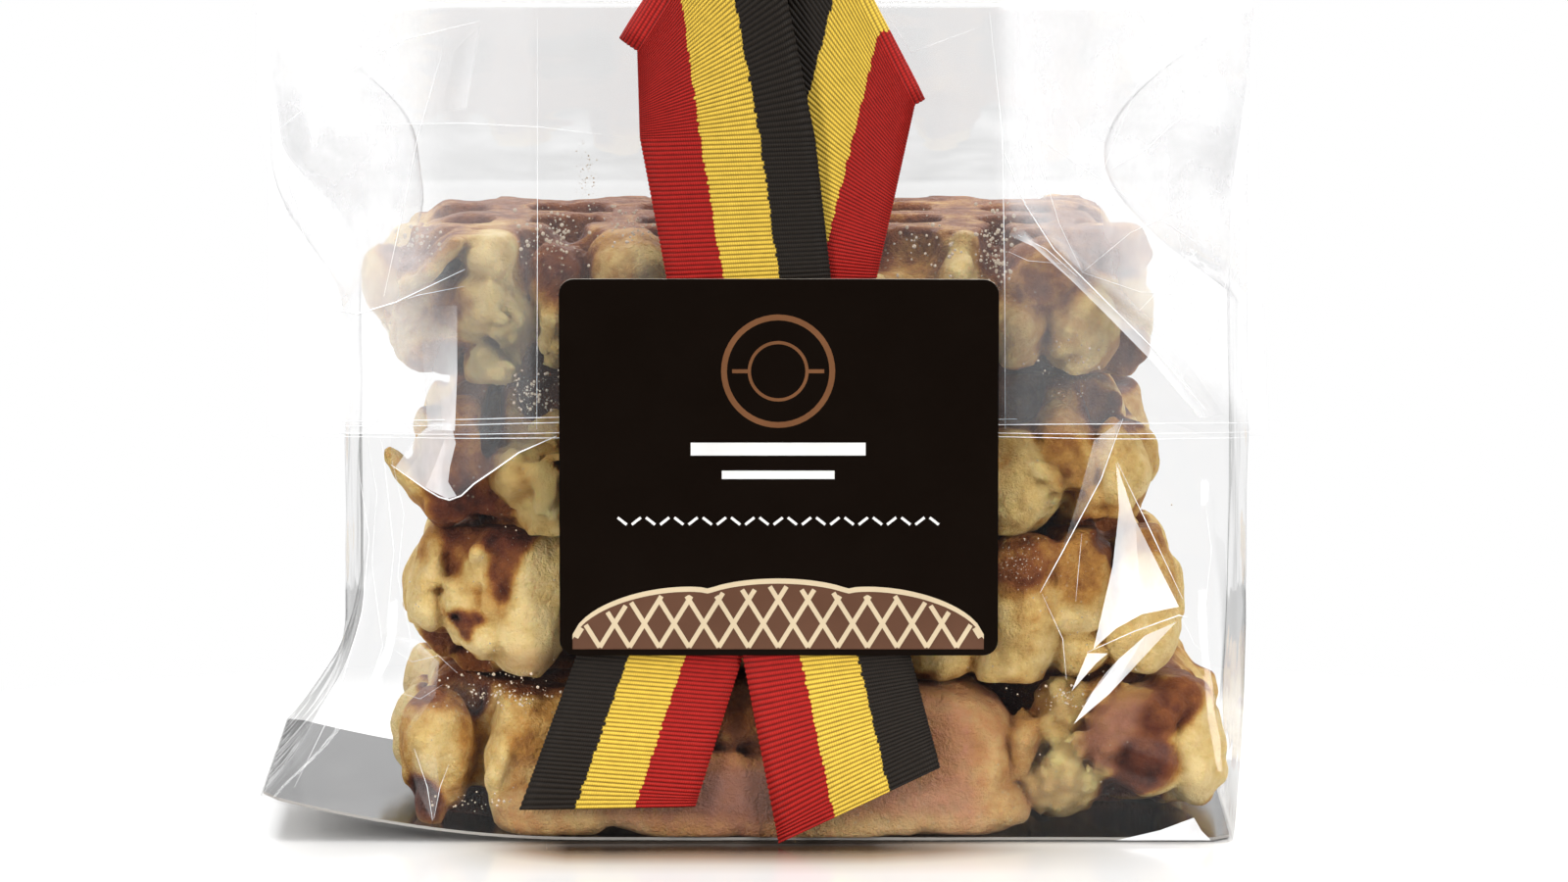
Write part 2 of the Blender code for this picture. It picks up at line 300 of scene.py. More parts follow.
@dataclass(frozen=True)
class CrustFinish:
    """Baked waffle crust, from pale dough to deep caramel by its `bake` value.

    Args:
        dough: Colour of unbaked, torn or pale dough.
        straw: Colour of the lightest crust.
        golden: Colour of golden crust.
        brown: Colour of well baked crust.
        caramel: Colour of caramelised crust.
        burnt: Colour of the darkest sugar.
        rosy: Colour of crust pressed flat against the film, lightened by a painted pale reflection of the film
            over it.
        crumb: Colour of the soft inside where dough is torn open.
    """

    dough: Color = (0.91, 0.69, 0.325)
    straw: Color = (0.79, 0.55, 0.205)
    golden: Color = (0.56, 0.275, 0.062)
    brown: Color = (0.270, 0.085, 0.022)
    caramel: Color = (0.135, 0.032, 0.013)
    burnt: Color = (0.050, 0.013, 0.008)
    rosy: Color = (0.390, 0.185, 0.125)
    crumb: Color = (1.0, 0.765, 0.31)

    def build(self) -> bpy.types.Material:
        """Makes the crust material."""
        material, sheet = blank_material("waffle_crust")
        place = sheet.object_place()
        bake = sheet.attribute("bake")
        torn = sheet.attribute("torn")
        pressed = sheet.attribute("pressed")
        broad = sheet.noise(place, 120.0, 4.0, 0.62)
        fine = sheet.noise(place, 560.0, 5.0, 0.68)
        grain = sheet.noise(place, 1900.0, 3.0, 0.7)
        uneven = sheet.math("MULTIPLY_ADD", broad, 0.46, -0.23)
        speckle = sheet.math("MULTIPLY_ADD", fine, 0.52, -0.26)
        calm = sheet.math("MULTIPLY_ADD", torn, -0.7, 1.0)
        drift = sheet.math("MULTIPLY", sheet.math("ADD", uneven, speckle), calm)
        shade = sheet.math("ADD", bake, drift, clamp=True)
        stops = [
            (0.0, self.dough),
            (0.16, self.straw),
            (0.38, self.golden),
            (0.60, self.brown),
            (0.82, self.caramel),
            (1.0, self.burnt),
        ]
        crust = sheet.ramp(shade, stops)
        mottled = sheet.math("MULTIPLY_ADD", fine, 3.2, -1.1, clamp=True)
        # The rosy crust is partly its own pressed colour and partly a painted pale film reflection.
        rosy = sheet.blend(mottled, self.rosy, tuple(part * 1.6 for part in self.rosy))
        rosy = sheet.blend(sheet.math("MULTIPLY", uneven, 2.2, clamp=True), rosy, self.golden)
        open_crumb = sheet.math("MULTIPLY_ADD", bake, -1.6, 0.9, clamp=True)
        open_crumb = sheet.math("MULTIPLY", torn, open_crumb, clamp=True)
        crust = sheet.blend(open_crumb, crust, self.crumb)
        color = sheet.blend(sheet.math("MULTIPLY", pressed, 0.85), crust, rosy)
        sugar = sheet.add(
            "ShaderNodeTexVoronoi", {"Vector": place, "Scale": 620.0, "Randomness": 1.0}
        )
        crystal = sheet.math("LESS_THAN", sugar.outputs["Distance"], 0.14)
        patch = sheet.math("GREATER_THAN", sheet.noise(place, 60.0, 2.0), 0.56)
        crystal = sheet.math("MULTIPLY", crystal, patch)
        pale = sheet.math("MULTIPLY", crystal, 0.25)
        color = sheet.blend(pale, color, (0.75, 0.66, 0.48))
        rough = sheet.math("MULTIPLY_ADD", fine, 0.30, 0.38)
        rough = sheet.math("MULTIPLY_ADD", crystal, -0.3, rough)
        rough = sheet.math("MULTIPLY_ADD", pressed, -0.12, rough, clamp=True)
        depth = sheet.math("MULTIPLY_ADD", grain, 0.35, fine)
        crumb = sheet.math("MULTIPLY", sheet.noise(place, 900.0, 6.0, 0.8), torn)
        depth = sheet.math("MULTIPLY_ADD", crumb, 3.2, depth)
        depth = sheet.math("MULTIPLY_ADD", crystal, 0.35, depth)
        inputs = {
            "Base Color": color,
            "Roughness": rough,
            "Normal": sheet.bump(depth, 0.0026, 1.0),
            "Specular IOR Level": sheet.math("MULTIPLY_ADD", crystal, 0.4, 0.18),
            "Subsurface Weight": 0.22,
            "Subsurface Radius": (0.004, 0.002, 0.0008),
            "Subsurface Scale": 0.6,
        }
        finish_material(sheet, sheet.add("ShaderNodeBsdfPrincipled", inputs))
        return material


@dataclass(frozen=True)
class FilmFinish:
    """Clear glossy film; its `haze_and_sheen` value makes it milky, and where it is high it paints a white
    sheen.

    Args:
        name: Name of the material.
        gloss: Share of light it mirrors when seen straight on.
        milk: Colour of its haze and of its painted sheen.
        ripple: Height of its fine ripples, in metres.
    """

    name: str = "clear_film"
    gloss: float = 0.028
    milk: Color = (0.97, 0.97, 0.98)
    ripple: float = 0.00022

    def build(self) -> bpy.types.Material:
        """Makes the film material."""
        material, sheet = blank_material(self.name)
        place = sheet.object_place()
        facing = sheet.add("ShaderNodeLayerWeight", {"Blend": 0.5}).outputs["Facing"]
        edge = sheet.math("POWER", facing, 4.0)
        mirror = sheet.math("MULTIPLY_ADD", edge, 0.55, self.gloss, clamp=True)
        stretched = sheet.add(
            "ShaderNodeMapping", {"Vector": place, "Scale": (1.0, 1.0, 0.45)}
        ).outputs["Vector"]
        waves = sheet.noise(stretched, 70.0, 2.0, 0.45)
        bump = sheet.bump(waves, self.ripple * 10, 0.35)
        clear = sheet.add("ShaderNodeBsdfTransparent", {"Color": (0.985, 0.985, 0.985, 1.0)})
        gloss = sheet.add("ShaderNodeBsdfGlossy", {"Roughness": 0.07, "Normal": bump})
        film = sheet.add(
            "ShaderNodeMixShader", {0: mirror, 1: clear.outputs[0], 2: gloss.outputs[0]}
        )
        # The milky white mix is real haze where the value is low and a painted white sheen where it is high.
        streaks = sheet.noise(stretched, 130.0, 4.0, 0.6)
        cloud = sheet.math("MULTIPLY_ADD", streaks, 1.4, 0.3)
        haze_and_sheen = sheet.math("MULTIPLY", sheet.attribute("haze_and_sheen"), cloud, clamp=True)
        milk = sheet.add("ShaderNodeBsdfDiffuse", {"Color": (*self.milk, 1.0)})
        both = {0: haze_and_sheen, 1: film.outputs[0], 2: milk.outputs[0]}
        finish_material(sheet, sheet.add("ShaderNodeMixShader", both))
        return material


@dataclass(frozen=True)
class PlainFinish:
    """A smooth coated surface with a faint uneven gloss.

    Args:
        name: Name of the material.
        color: Base colour.
        roughness: Middle roughness.
        uneven: How much the colour varies over the surface.
        grain: Height of its fine relief, in metres.
        metallic: Share of metal.
        specular: Strength of its gloss, 0.5 as for plastic.
    """

    name: str
    color: Color
    roughness: float
    uneven: float = 0.15
    grain: float = 0.00002
    metallic: float = 0.0
    specular: float = 0.5

    def build(self) -> bpy.types.Material:
        """Makes the coated material."""
        material, sheet = blank_material(self.name)
        place = sheet.object_place()
        cloud = sheet.noise(place, 120.0, 4.0, 0.6)
        fine = sheet.noise(place, 2200.0, 2.0)
        darker = tuple(part * (1 - self.uneven) for part in self.color)
        inputs = {
            "Base Color": sheet.blend(cloud, darker, self.color),
            "Roughness": sheet.math("MULTIPLY_ADD", cloud, 0.1, self.roughness - 0.05),
            "Normal": sheet.bump(fine, self.grain, 0.5),
            "Metallic": self.metallic,
            "Specular IOR Level": self.specular,
        }
        finish_material(sheet, sheet.add("ShaderNodeBsdfPrincipled", inputs))
        return material


@dataclass(frozen=True)
class RibbonFinish:
    """Three woven stripes with crosswise ribs, laid out on the ribbon's UV map, with painted shade in the
    grooves between ribs and threads.

    Args:
        red: Colour of the outer stripe.
        yellow: Colour of the middle stripe.
        black: Colour of the inner stripe.
        first: Where across the width the red ends.
        second: Where across the width the yellow ends.
        threads: Lengthwise threads across the width.
    """

    red: Color = (0.325, 0.010, 0.007)
    yellow: Color = (0.64, 0.425, 0.052)
    black: Color = (0.014, 0.010, 0.007)
    first: float = 0.350
    second: float = 0.690
    threads: float = 74.0

    def build(self) -> bpy.types.Material:
        """Makes the ribbon material."""
        material, sheet = blank_material("ribbon_cloth")
        texture = sheet.add("ShaderNodeUVMap", uv_map="weave").outputs["UV"]
        parts = sheet.add("ShaderNodeSeparateXYZ", {"Vector": texture})
        across, along = parts.outputs["X"], parts.outputs["Y"]
        rib = sheet.math("FLOOR", along)
        chance = sheet.add("ShaderNodeTexWhiteNoise", {"W": rib}, noise_dimensions="1D")
        jitter = sheet.math("MULTIPLY_ADD", chance.outputs["Value"], 0.014, -0.007)
        in_rib = sheet.math("FRACT", along)
        rise = sheet.math("SINE", sheet.math("MULTIPLY", in_rib, math.pi))
        scallop = sheet.math("MULTIPLY_ADD", rise, 0.008, jitter)
        place = sheet.math("ADD", across, scallop)
        past_red = sheet.math("GREATER_THAN", place, self.first)
        past_yellow = sheet.math("GREATER_THAN", place, self.second)
        stripes = sheet.blend(past_red, self.red, self.yellow)
        stripes = sheet.blend(past_yellow, stripes, self.black)
        # Painted shade: the colour darkens to a small fraction of itself in the grooves between ribs and between
        # threads; the wear noise adds random tone.
        turn = sheet.math("MULTIPLY", across, self.threads * math.pi)
        thread = sheet.math("ABSOLUTE", sheet.math("SINE", turn))
        strand = sheet.math("MULTIPLY_ADD", thread, 0.45, 0.55)
        weave = sheet.math("MULTIPLY", strand, sheet.math("POWER", rise, 0.9))
        object_place = sheet.object_place()
        wear = sheet.noise(object_place, 700.0, 3.0, 0.6)
        light = sheet.math("MULTIPLY_ADD", weave, 1.05, 0.12)
        light = sheet.math("MULTIPLY_ADD", wear, 0.30, light)
        tint = sheet.add("ShaderNodeHueSaturation", {"Color": stripes, "Value": light})
        height = sheet.math("MULTIPLY_ADD", wear, 0.3, weave)
        inputs = {
            "Base Color": tint.outputs["Color"],
            "Roughness": sheet.math("MULTIPLY_ADD", thread, -0.12, 0.66),
            "Normal": sheet.bump(height, 0.0001, 0.9),
            "Sheen Weight": 0.02,
            "Sheen Roughness": 0.4,
            "Specular IOR Level": 0.16,
        }
        finish_material(sheet, sheet.add("ShaderNodeBsdfPrincipled", inputs))
        return material


@dataclass(frozen=True)
class FloorFinish:
    """Pale glossy table that fades into the white surroundings, with a painted dark contact shadow in a strip
    just before the pack's front.

    Args:
        near: Distance from the middle that is lit by the lamps alone, in metres.
        far: Distance at which it is as white as the surroundings.
    """

    near: float = 0.14
    far: float = 0.21

    def build(self) -> bpy.types.Material:
        """Makes the floor material."""
        material, sheet = blank_material("studio_table")
        place = sheet.object_place()
        squeezed = sheet.add(
            "ShaderNodeMapping", {"Vector": place, "Scale": (1.0, 1.35, 1.0)}
        ).outputs["Vector"]
        length = sheet.add("ShaderNodeVectorMath", {0: squeezed}, operation="LENGTH")
        fade = sheet.add(
            "ShaderNodeMapRange",
            {"Value": length.outputs["Value"], "From Min": self.near, "From Max": self.far},
            interpolation_type="SMOOTHSTEP",
        ).outputs["Result"]
        cloud = sheet.noise(place, 9.0, 3.0)
        # Painted contact shadow: a dark brown strip on the table just before the pack's front, darkest at its
        # base and fading forward and to the sides; it also dims the gloss there.
        parts = sheet.add("ShaderNodeSeparateXYZ", {"Vector": place})
        leftward = sheet.math("MULTIPLY_ADD", parts.outputs["X"], 45.0, 2.5, clamp=True)
        rightward = sheet.math("MULTIPLY_ADD", parts.outputs["X"], -24.0, 1.32, clamp=True)
        before = sheet.math("MULTIPLY_ADD", parts.outputs["Y"], 45.0, 3.13, clamp=True)
        behind = sheet.math("MULTIPLY_ADD", parts.outputs["Y"], -150.0, -5.1, clamp=True)
        strip = sheet.math("MULTIPLY", before, behind)
        shade = sheet.math("MULTIPLY", sheet.math("MINIMUM", leftward, rightward), strip)
        stops = [
            (0.0, (0.86, 0.86, 0.855)),
            (0.35, (0.72, 0.69, 0.64)),
            (0.7, (0.34, 0.27, 0.21)),
            (1.0, (0.030, 0.018, 0.012)),
        ]
        inputs = {
            "Base Color": sheet.ramp(shade, stops),
            "Roughness": sheet.math("MULTIPLY_ADD", cloud, 0.06, 0.14),
            "Specular IOR Level": sheet.math("MULTIPLY_ADD", shade, -0.5, 0.6),
        }
        table = sheet.add("ShaderNodeBsdfPrincipled", inputs)
        seen = sheet.add("ShaderNodeLightPath").outputs["Is Camera Ray"]
        white = sheet.add("ShaderNodeEmission", {"Strength": seen})
        both = {0: fade, 1: table.outputs[0], 2: white.outputs[0]}
        finish_material(sheet, sheet.add("ShaderNodeMixShader", both))
        return material


# --- Waffles -------------------------------------------------------------------------


@dataclass(frozen=True)
class Lobe:
    """A rounded lump of dough at a waffle's edge, in millimetres.

    Args:
        x: Middle of the lump across the pack.
        z: Middle height.
        wide: Width across the pack.
        tall: Height.
        front: How far forward it reaches, as a Y position.
        deep: Half its depth.
        lean: Turn to the right of its upper end, in degrees.
        bake: Its crust, 0 for pale dough and 1 for burnt sugar.
        torn: How broken its surface is.
        pressed: How far it is pressed flat against the film.
        square: How boxy it is, 0 for an ellipsoid.
        flat: How much of its front the iron has cut flat.
        face: The crust of that flat front.
        turn: How far the flat front looks to the right, in degrees.
        nod: How far the flat front looks up, in degrees.
    """

    x: float
    z: float
    wide: float
    tall: float
    front: float = -39.0
    deep: float = 9.0
    lean: float = 0.0
    bake: float = 0.2
    torn: float = 0.0
    pressed: float = 0.0
    square: float = 0.0
    flat: float = 0.0
    face: float = 0.5
    turn: float = 0.0
    nod: float = 0.0


@dataclass(frozen=True)
class Hollow:
    """A pocket or gap in a waffle's edge, in millimetres.

    Args:
        x: Middle of the hollow across the pack.
        z: Middle height.
        wide: Width across the pack.
        tall: Height.
        front: Where it opens, as a Y position.
        deep: Half its depth.
        lean: Turn to the right of its upper end, in degrees.
        bake: The crust of its walls.
    """

    x: float
    z: float
    wide: float
    tall: float
    front: float = -42.0
    deep: float = 12.0
    lean: float = 0.0
    bake: float = 0.85


@dataclass(frozen=True)
class Stain:
    """A patch of darker or paler crust on a waffle's front, in millimetres.

    Args:
        x: Middle of the patch across the pack.
        z: Middle height.
        wide: Width across the pack.
        tall: Height.
        bake: Its crust.
        lean: Turn to the right of its upper end, in degrees.
        soft: How gradual its edge is.
        share: How fully it covers.
        pressed: How far it is pressed against the film.
    """

    x: float
    z: float
    wide: float
    tall: float
    bake: float
    lean: float = 0.0
    soft: float = 0.3
    share: float = 1.0
    pressed: float = 0.0


@dataclass
class DoughField:
    """A block of samples that holds a waffle's shape and its crust values.

    Args:
        low: Lowest corner, in millimetres.
        high: Highest corner.
        seed: Seed of its unevenness.
        pitch: Distance between samples.
    """

    low: tuple[float, float, float]
    high: tuple[float, float, float]
    seed: int
    pitch: float = 0.705

    def __post_init__(self) -> None:
        """Lays out the samples."""
        spans = zip(self.low, self.high)
        self.axes = [np.arange(a, b + self.pitch, self.pitch) for a, b in spans]
        self.shape = tuple(len(axis) for axis in self.axes)
        self.distance = np.full(self.shape, 50.0)
        self.crust = {
            "bake": np.full(self.shape, 0.2),
            "torn": np.zeros(self.shape),
            "pressed": np.zeros(self.shape),
        }
        self.warp = []
        for axis in range(3):
            bend = 1.1 * lattice_noise(self.shape, 9.0 / self.pitch, self.seed + 3 * axis)
            bend += 0.45 * lattice_noise(self.shape, 3.4 / self.pitch, self.seed + 3 * axis + 1)
            self.warp.append(bend)

    def window(self, centre: tuple[float, float, float], reach: float):
        """Slices and open grids of offsets round a centre.

        Args:
            centre: Middle of the window.
            reach: Half its size.

        Returns:
            The slices and the three offset arrays, or None outside the block.
        """
        slices, offsets = [], []
        for axis, middle in zip(self.axes, centre):
            first = int(np.searchsorted(axis, middle - reach))
            last = int(np.searchsorted(axis, middle + reach))
            if last <= first:
                return None
            slices.append(slice(first, last))
            offsets.append(axis[first:last] - middle)
        grids = np.meshgrid(*offsets, indexing="ij", sparse=True)
        part = tuple(slices)
        return part, [grid + bend[part] for grid, bend in zip(grids, self.warp)]

    def add_slab(self, half: tuple[float, float, float], middle: float, round_off: float) -> None:
        """Fills a slab with rounded edges.

        Args:
            half: Half its size along each axis.
            middle: Height of its middle.
            round_off: Radius of its edges.
        """
        grids = np.meshgrid(*self.axes, indexing="ij", sparse=True)
        x, y, z = grids[0], grids[1], grids[2] - middle
        wobble = 2.2 * np.sin(0.11 * x + 1.3 * middle) + 1.4 * np.sin(0.23 * x + middle)
        parts = [
            np.abs(x) - (half[0] - round_off),
            np.abs(y) - (half[1] - round_off + 0.5 * wobble),
            np.abs(z) - (half[2] - round_off),
        ]
        outside = np.sqrt(sum(np.maximum(part, 0) ** 2 for part in parts))
        inside = np.minimum(np.maximum(np.maximum(parts[0], parts[1]), parts[2]), 0)
        self.distance = outside + inside - round_off
        level = np.abs(z) / half[2] + 0 * x + 0 * y
        self.crust["bake"] = 0.20 + 0.44 * smooth_step(0.72, 0.98, level)

    def blob(self, shape: Lobe | Hollow, middle_y: float, reach: float, square: float = 0.0):
        """Signed distance to a leaning rounded lump inside its own window.

        Args:
            shape: The lump or hollow.
            middle_y: Depth of its middle.
            reach: Half the size of its window.
            square: How boxy it is.

        Returns:
            The window's slices, the distances and the offsets, or None outside the block.
        """
        centre = (shape.x, middle_y, shape.z)
        found = self.window(centre, reach)
        if found is None:
            return None
        slices, (x, y, z) = found
        lean = math.radians(shape.lean)
        across = x * math.cos(lean) - z * math.sin(lean)
        up = x * math.sin(lean) + z * math.cos(lean)
        power = 2.0 + 2.5 * square
        parts = (across / (shape.wide / 2), y / shape.deep, up / (shape.tall / 2))
        span = sum(np.abs(part) ** power for part in parts) ** (1 / power)
        smallest = min(shape.wide / 2, shape.deep, shape.tall / 2)
        return slices, (span - 1) * smallest, (x, y, z)

    def add_lobe(self, lobe: Lobe, blend: float = 0.7) -> None:
        """Joins a lump of dough on."""
        reach = max(lobe.wide, lobe.tall, 2 * lobe.deep) * 0.75 + 3 * blend
        middle_y = lobe.front + lobe.deep - lobe.flat
        found = self.blob(lobe, middle_y, reach, lobe.square)
        if found is None:
            return
        slices, lump, (x, y, z) = found
        bake = np.full(lump.shape, lobe.bake)
        if lobe.flat:
            slope_x, slope_z = (math.tan(math.radians(a)) for a in (lobe.turn, lobe.nod))
            cut = lobe.flat - lobe.deep - y + slope_x * x + slope_z * z
            bake += (lobe.face - lobe.bake) * np.clip(0.5 + (cut - lump) / 0.5, 0, 1)
            lump = np.maximum(lump, cut)
        here = self.distance[slices]
        share = np.clip(0.5 + 0.5 * (here - lump) / blend, 0, 1)
        self.distance[slices] = here + (lump - here) * share - blend * share * (1 - share)
        paint = np.clip(0.5 + 0.5 * (here - lump) / 0.5, 0, 1)
        for name, value in (("bake", bake), ("torn", lobe.torn), ("pressed", lobe.pressed)):
            values = self.crust[name][slices]
            self.crust[name][slices] = values + (value - values) * paint

    def cut_hollow(self, hollow: Hollow, blend: float = 0.8, square: float = 0.0) -> None:
        """Takes a pocket out and browns its walls."""
        reach = max(hollow.wide, hollow.tall, 2 * hollow.deep) * 0.75 + 3 * blend
        found = self.blob(hollow, hollow.front + hollow.deep, reach, square)
        if found is None:
            return
        slices, lump, _ = found
        here = self.distance[slices]
        share = np.clip(0.5 - 0.5 * (here + lump) / blend, 0, 1)
        self.distance[slices] = here + (-lump - here) * share + blend * share * (1 - share)
        paint = np.clip(1.0 - (lump - 0.1) / 0.7, 0, 1)
        values = self.crust["bake"][slices]
        self.crust["bake"][slices] = values + (hollow.bake - values) * paint
        self.crust["torn"][slices] *= 1 - paint
        self.crust["pressed"][slices] *= 1 - paint

    def paint(self, stain: Stain) -> None:
        """Colours the crust inside a patch of the front."""
        x, y, z = np.meshgrid(*self.axes, indexing="ij", sparse=True)
        x = x - stain.x + 0.8 * self.warp[0]
        z = z - stain.z + 0.8 * self.warp[2]
        lean = math.radians(stain.lean)
        across = (x * math.cos(lean) - z * math.sin(lean)) / (stain.wide / 2)
        up = (x * math.sin(lean) + z * math.cos(lean)) / (stain.tall / 2)
        span = np.sqrt(across**2 + up**2)
        cover = np.clip((1 + stain.soft - span) / (2 * stain.soft), 0, 1) * (y < -14)
        cover = cover * stain.share
        self.crust["bake"] = self.crust["bake"] + (stain.bake - self.crust["bake"]) * cover
        pressed = self.crust["pressed"]
        self.crust["pressed"] = pressed + (stain.pressed - pressed) * cover

    def roughen(self) -> None:
        """Makes the dough uneven, most where it is torn, and darkens its crust in concave creases as painted
        shade.
        """
        noises = []
        for number, cell in enumerate((10.0, 4.6, 2.6, 1.5)):
            noises.append(lattice_noise(self.shape, cell / self.pitch, self.seed + 20 + number))
        slow, middle, quick, tiny = noises
        still = 1 - 0.75 * self.crust["pressed"]
        torn = self.crust["torn"]
        self.distance += still * (0.5 * slow + 1.15 * (0.26 - np.abs(middle)))
        self.distance += still * (0.75 * (0.26 - np.abs(quick)) + 0.22 * tiny)
        self.distance += torn * (0.9 * (0.26 - np.abs(quick)) + 0.7 * tiny + 1.2 * middle)
        for cell, reach in ((3.4, 3.6), (1.8, 2.4)):
            self.add_crumb(cell, reach)
        around = self.distance
        radius = max(1, round(1.5 / self.pitch))
        for axis in range(3):
            shifted = [np.roll(around, step, axis) for step in range(-radius, radius + 1)]
            around = sum(shifted) / len(shifted)
        # Painted shade: the crust darkens where the surface is concave; the slow and middle noise add random
        # crust tone.
        crease = np.clip((self.distance - around) / 0.55, -0.5, 1.0)
        stain = 0.12 * slow + 0.06 * middle + 0.20 * crease
        self.crust["bake"] = self.crust["bake"] + stain * (1 - 0.45 * torn)

    def add_crumb(self, cell: float, reach: float) -> None:
        """Breaks torn dough into rounded crumbs with sharp gaps between them.

        Args:
            cell: Width of a crumb, in millimetres.
            reach: How far the crumbs stand out.
        """
        where = np.nonzero((self.crust["torn"] > 0.05) & (np.abs(self.distance) < 6))
        places = np.stack(where, axis=1) * self.pitch / cell
        base = np.floor(places).astype(int)
        random = np.random.default_rng(self.seed + int(10 * cell))
        seeds = random.random((*(base.max(axis=0) + 3), 3)) if len(base) else np.zeros((1, 1, 1, 3))
        nearest = np.full(len(base), 9.0)
        for step in np.ndindex(3, 3, 3):
            corner = base + step
            centre = corner - 1 + seeds[tuple(corner.T)]
            nearest = np.minimum(nearest, np.linalg.norm(centre - places, axis=1))
        self.distance[where] += self.crust["torn"][where] * reach * (nearest - 0.5)

    def press(self, front: float, top: float, bottom: float) -> None:
        """Flattens the dough where film, card or neighbours press on it."""
        x, y, z = np.meshgrid(*self.axes, indexing="ij", sparse=True)
        for limit in (front - y, y + front, z - top, bottom - z):
            self.distance = np.maximum(self.distance, limit)

    def skin(self) -> MeshSketch:
        """Covers the dough with quads by surface nets.

        Returns:
            A closed sketch with its crust values sampled at each point.
        """
        inside = self.distance < 0
        count = np.zeros(tuple(size - 1 for size in self.shape), dtype=np.int8)
        corners = [(i, j, k) for i in (0, 1) for j in (0, 1) for k in (0, 1)]
        nx, ny, nz = (size - 1 for size in self.shape)
        for i, j, k in corners:
            count += inside[i : i + nx, j : j + ny, k : k + nz]
        cells = np.argwhere((count > 0) & (count < 8))
        total = np.zeros((len(cells), 3))
        crossings = np.zeros(len(cells))
        for axis in range(3):
            step = np.eye(3, dtype=int)[axis]
            others = [other for other in range(3) if other != axis]
            for a in (0, 1):
                for b in (0, 1):
                    start = np.zeros(3, dtype=int)
                    start[others[0]], start[others[1]] = a, b
                    first = self.distance[tuple((cells + start).T)]
                    second = self.distance[tuple((cells + start + step).T)]
                    crossed = (first < 0) != (second < 0)
                    gap = np.where(crossed, first - second, 1.0)
                    share = np.where(crossed, first / gap, 0.0)
                    total += (start + np.outer(share, step)) * crossed[:, None]
                    crossings += crossed
        places = cells + total / crossings[:, None]
        numbers = np.full((nx, ny, nz), -1)
        numbers[tuple(cells.T)] = np.arange(len(cells))
        quads = [self._quads(inside, numbers, axis) for axis in range(3)]
        points = np.array(self.low) + places * self.pitch
        values = {name: self._sample(grid, places) for name, grid in self.crust.items()}
        return MeshSketch(points, np.concatenate(quads), values=values)

    def _quads(self, inside: np.ndarray, numbers: np.ndarray, axis: int) -> np.ndarray:
        """The quads that cross the sample lines along one axis."""
        turned = np.moveaxis(inside, (axis, (axis + 1) % 3, (axis + 2) % 3), (0, 1, 2))
        cells = np.moveaxis(numbers, (axis, (axis + 1) % 3, (axis + 2) % 3), (0, 1, 2))
        before = turned[:-1, 1:-1, 1:-1]
        changed = before != turned[1:, 1:-1, 1:-1]
        i, j, k = np.nonzero(changed)
        ring = [cells[i, j, k], cells[i, j + 1, k], cells[i, j + 1, k + 1], cells[i, j, k + 1]]
        quads = np.stack(ring, axis=1)
        leaving = before[i, j, k]
        quads[~leaving] = quads[~leaving][:, ::-1]
        return quads

    @staticmethod
    def _sample(grid: np.ndarray, places: np.ndarray) -> np.ndarray:
        """Grid values at fractional places, blended from the eight samples round each."""
        low = np.floor(places).astype(int)
        share = places - low
        total = np.zeros(len(places))
        for i in (0, 1):
            for j in (0, 1):
                for k in (0, 1):
                    weight = np.abs(1 - i - share[:, 0])
                    weight *= np.abs(1 - j - share[:, 1]) * np.abs(1 - k - share[:, 2])
                    total += weight * grid[low[:, 0] + i, low[:, 1] + j, low[:, 2] + k]
        return total


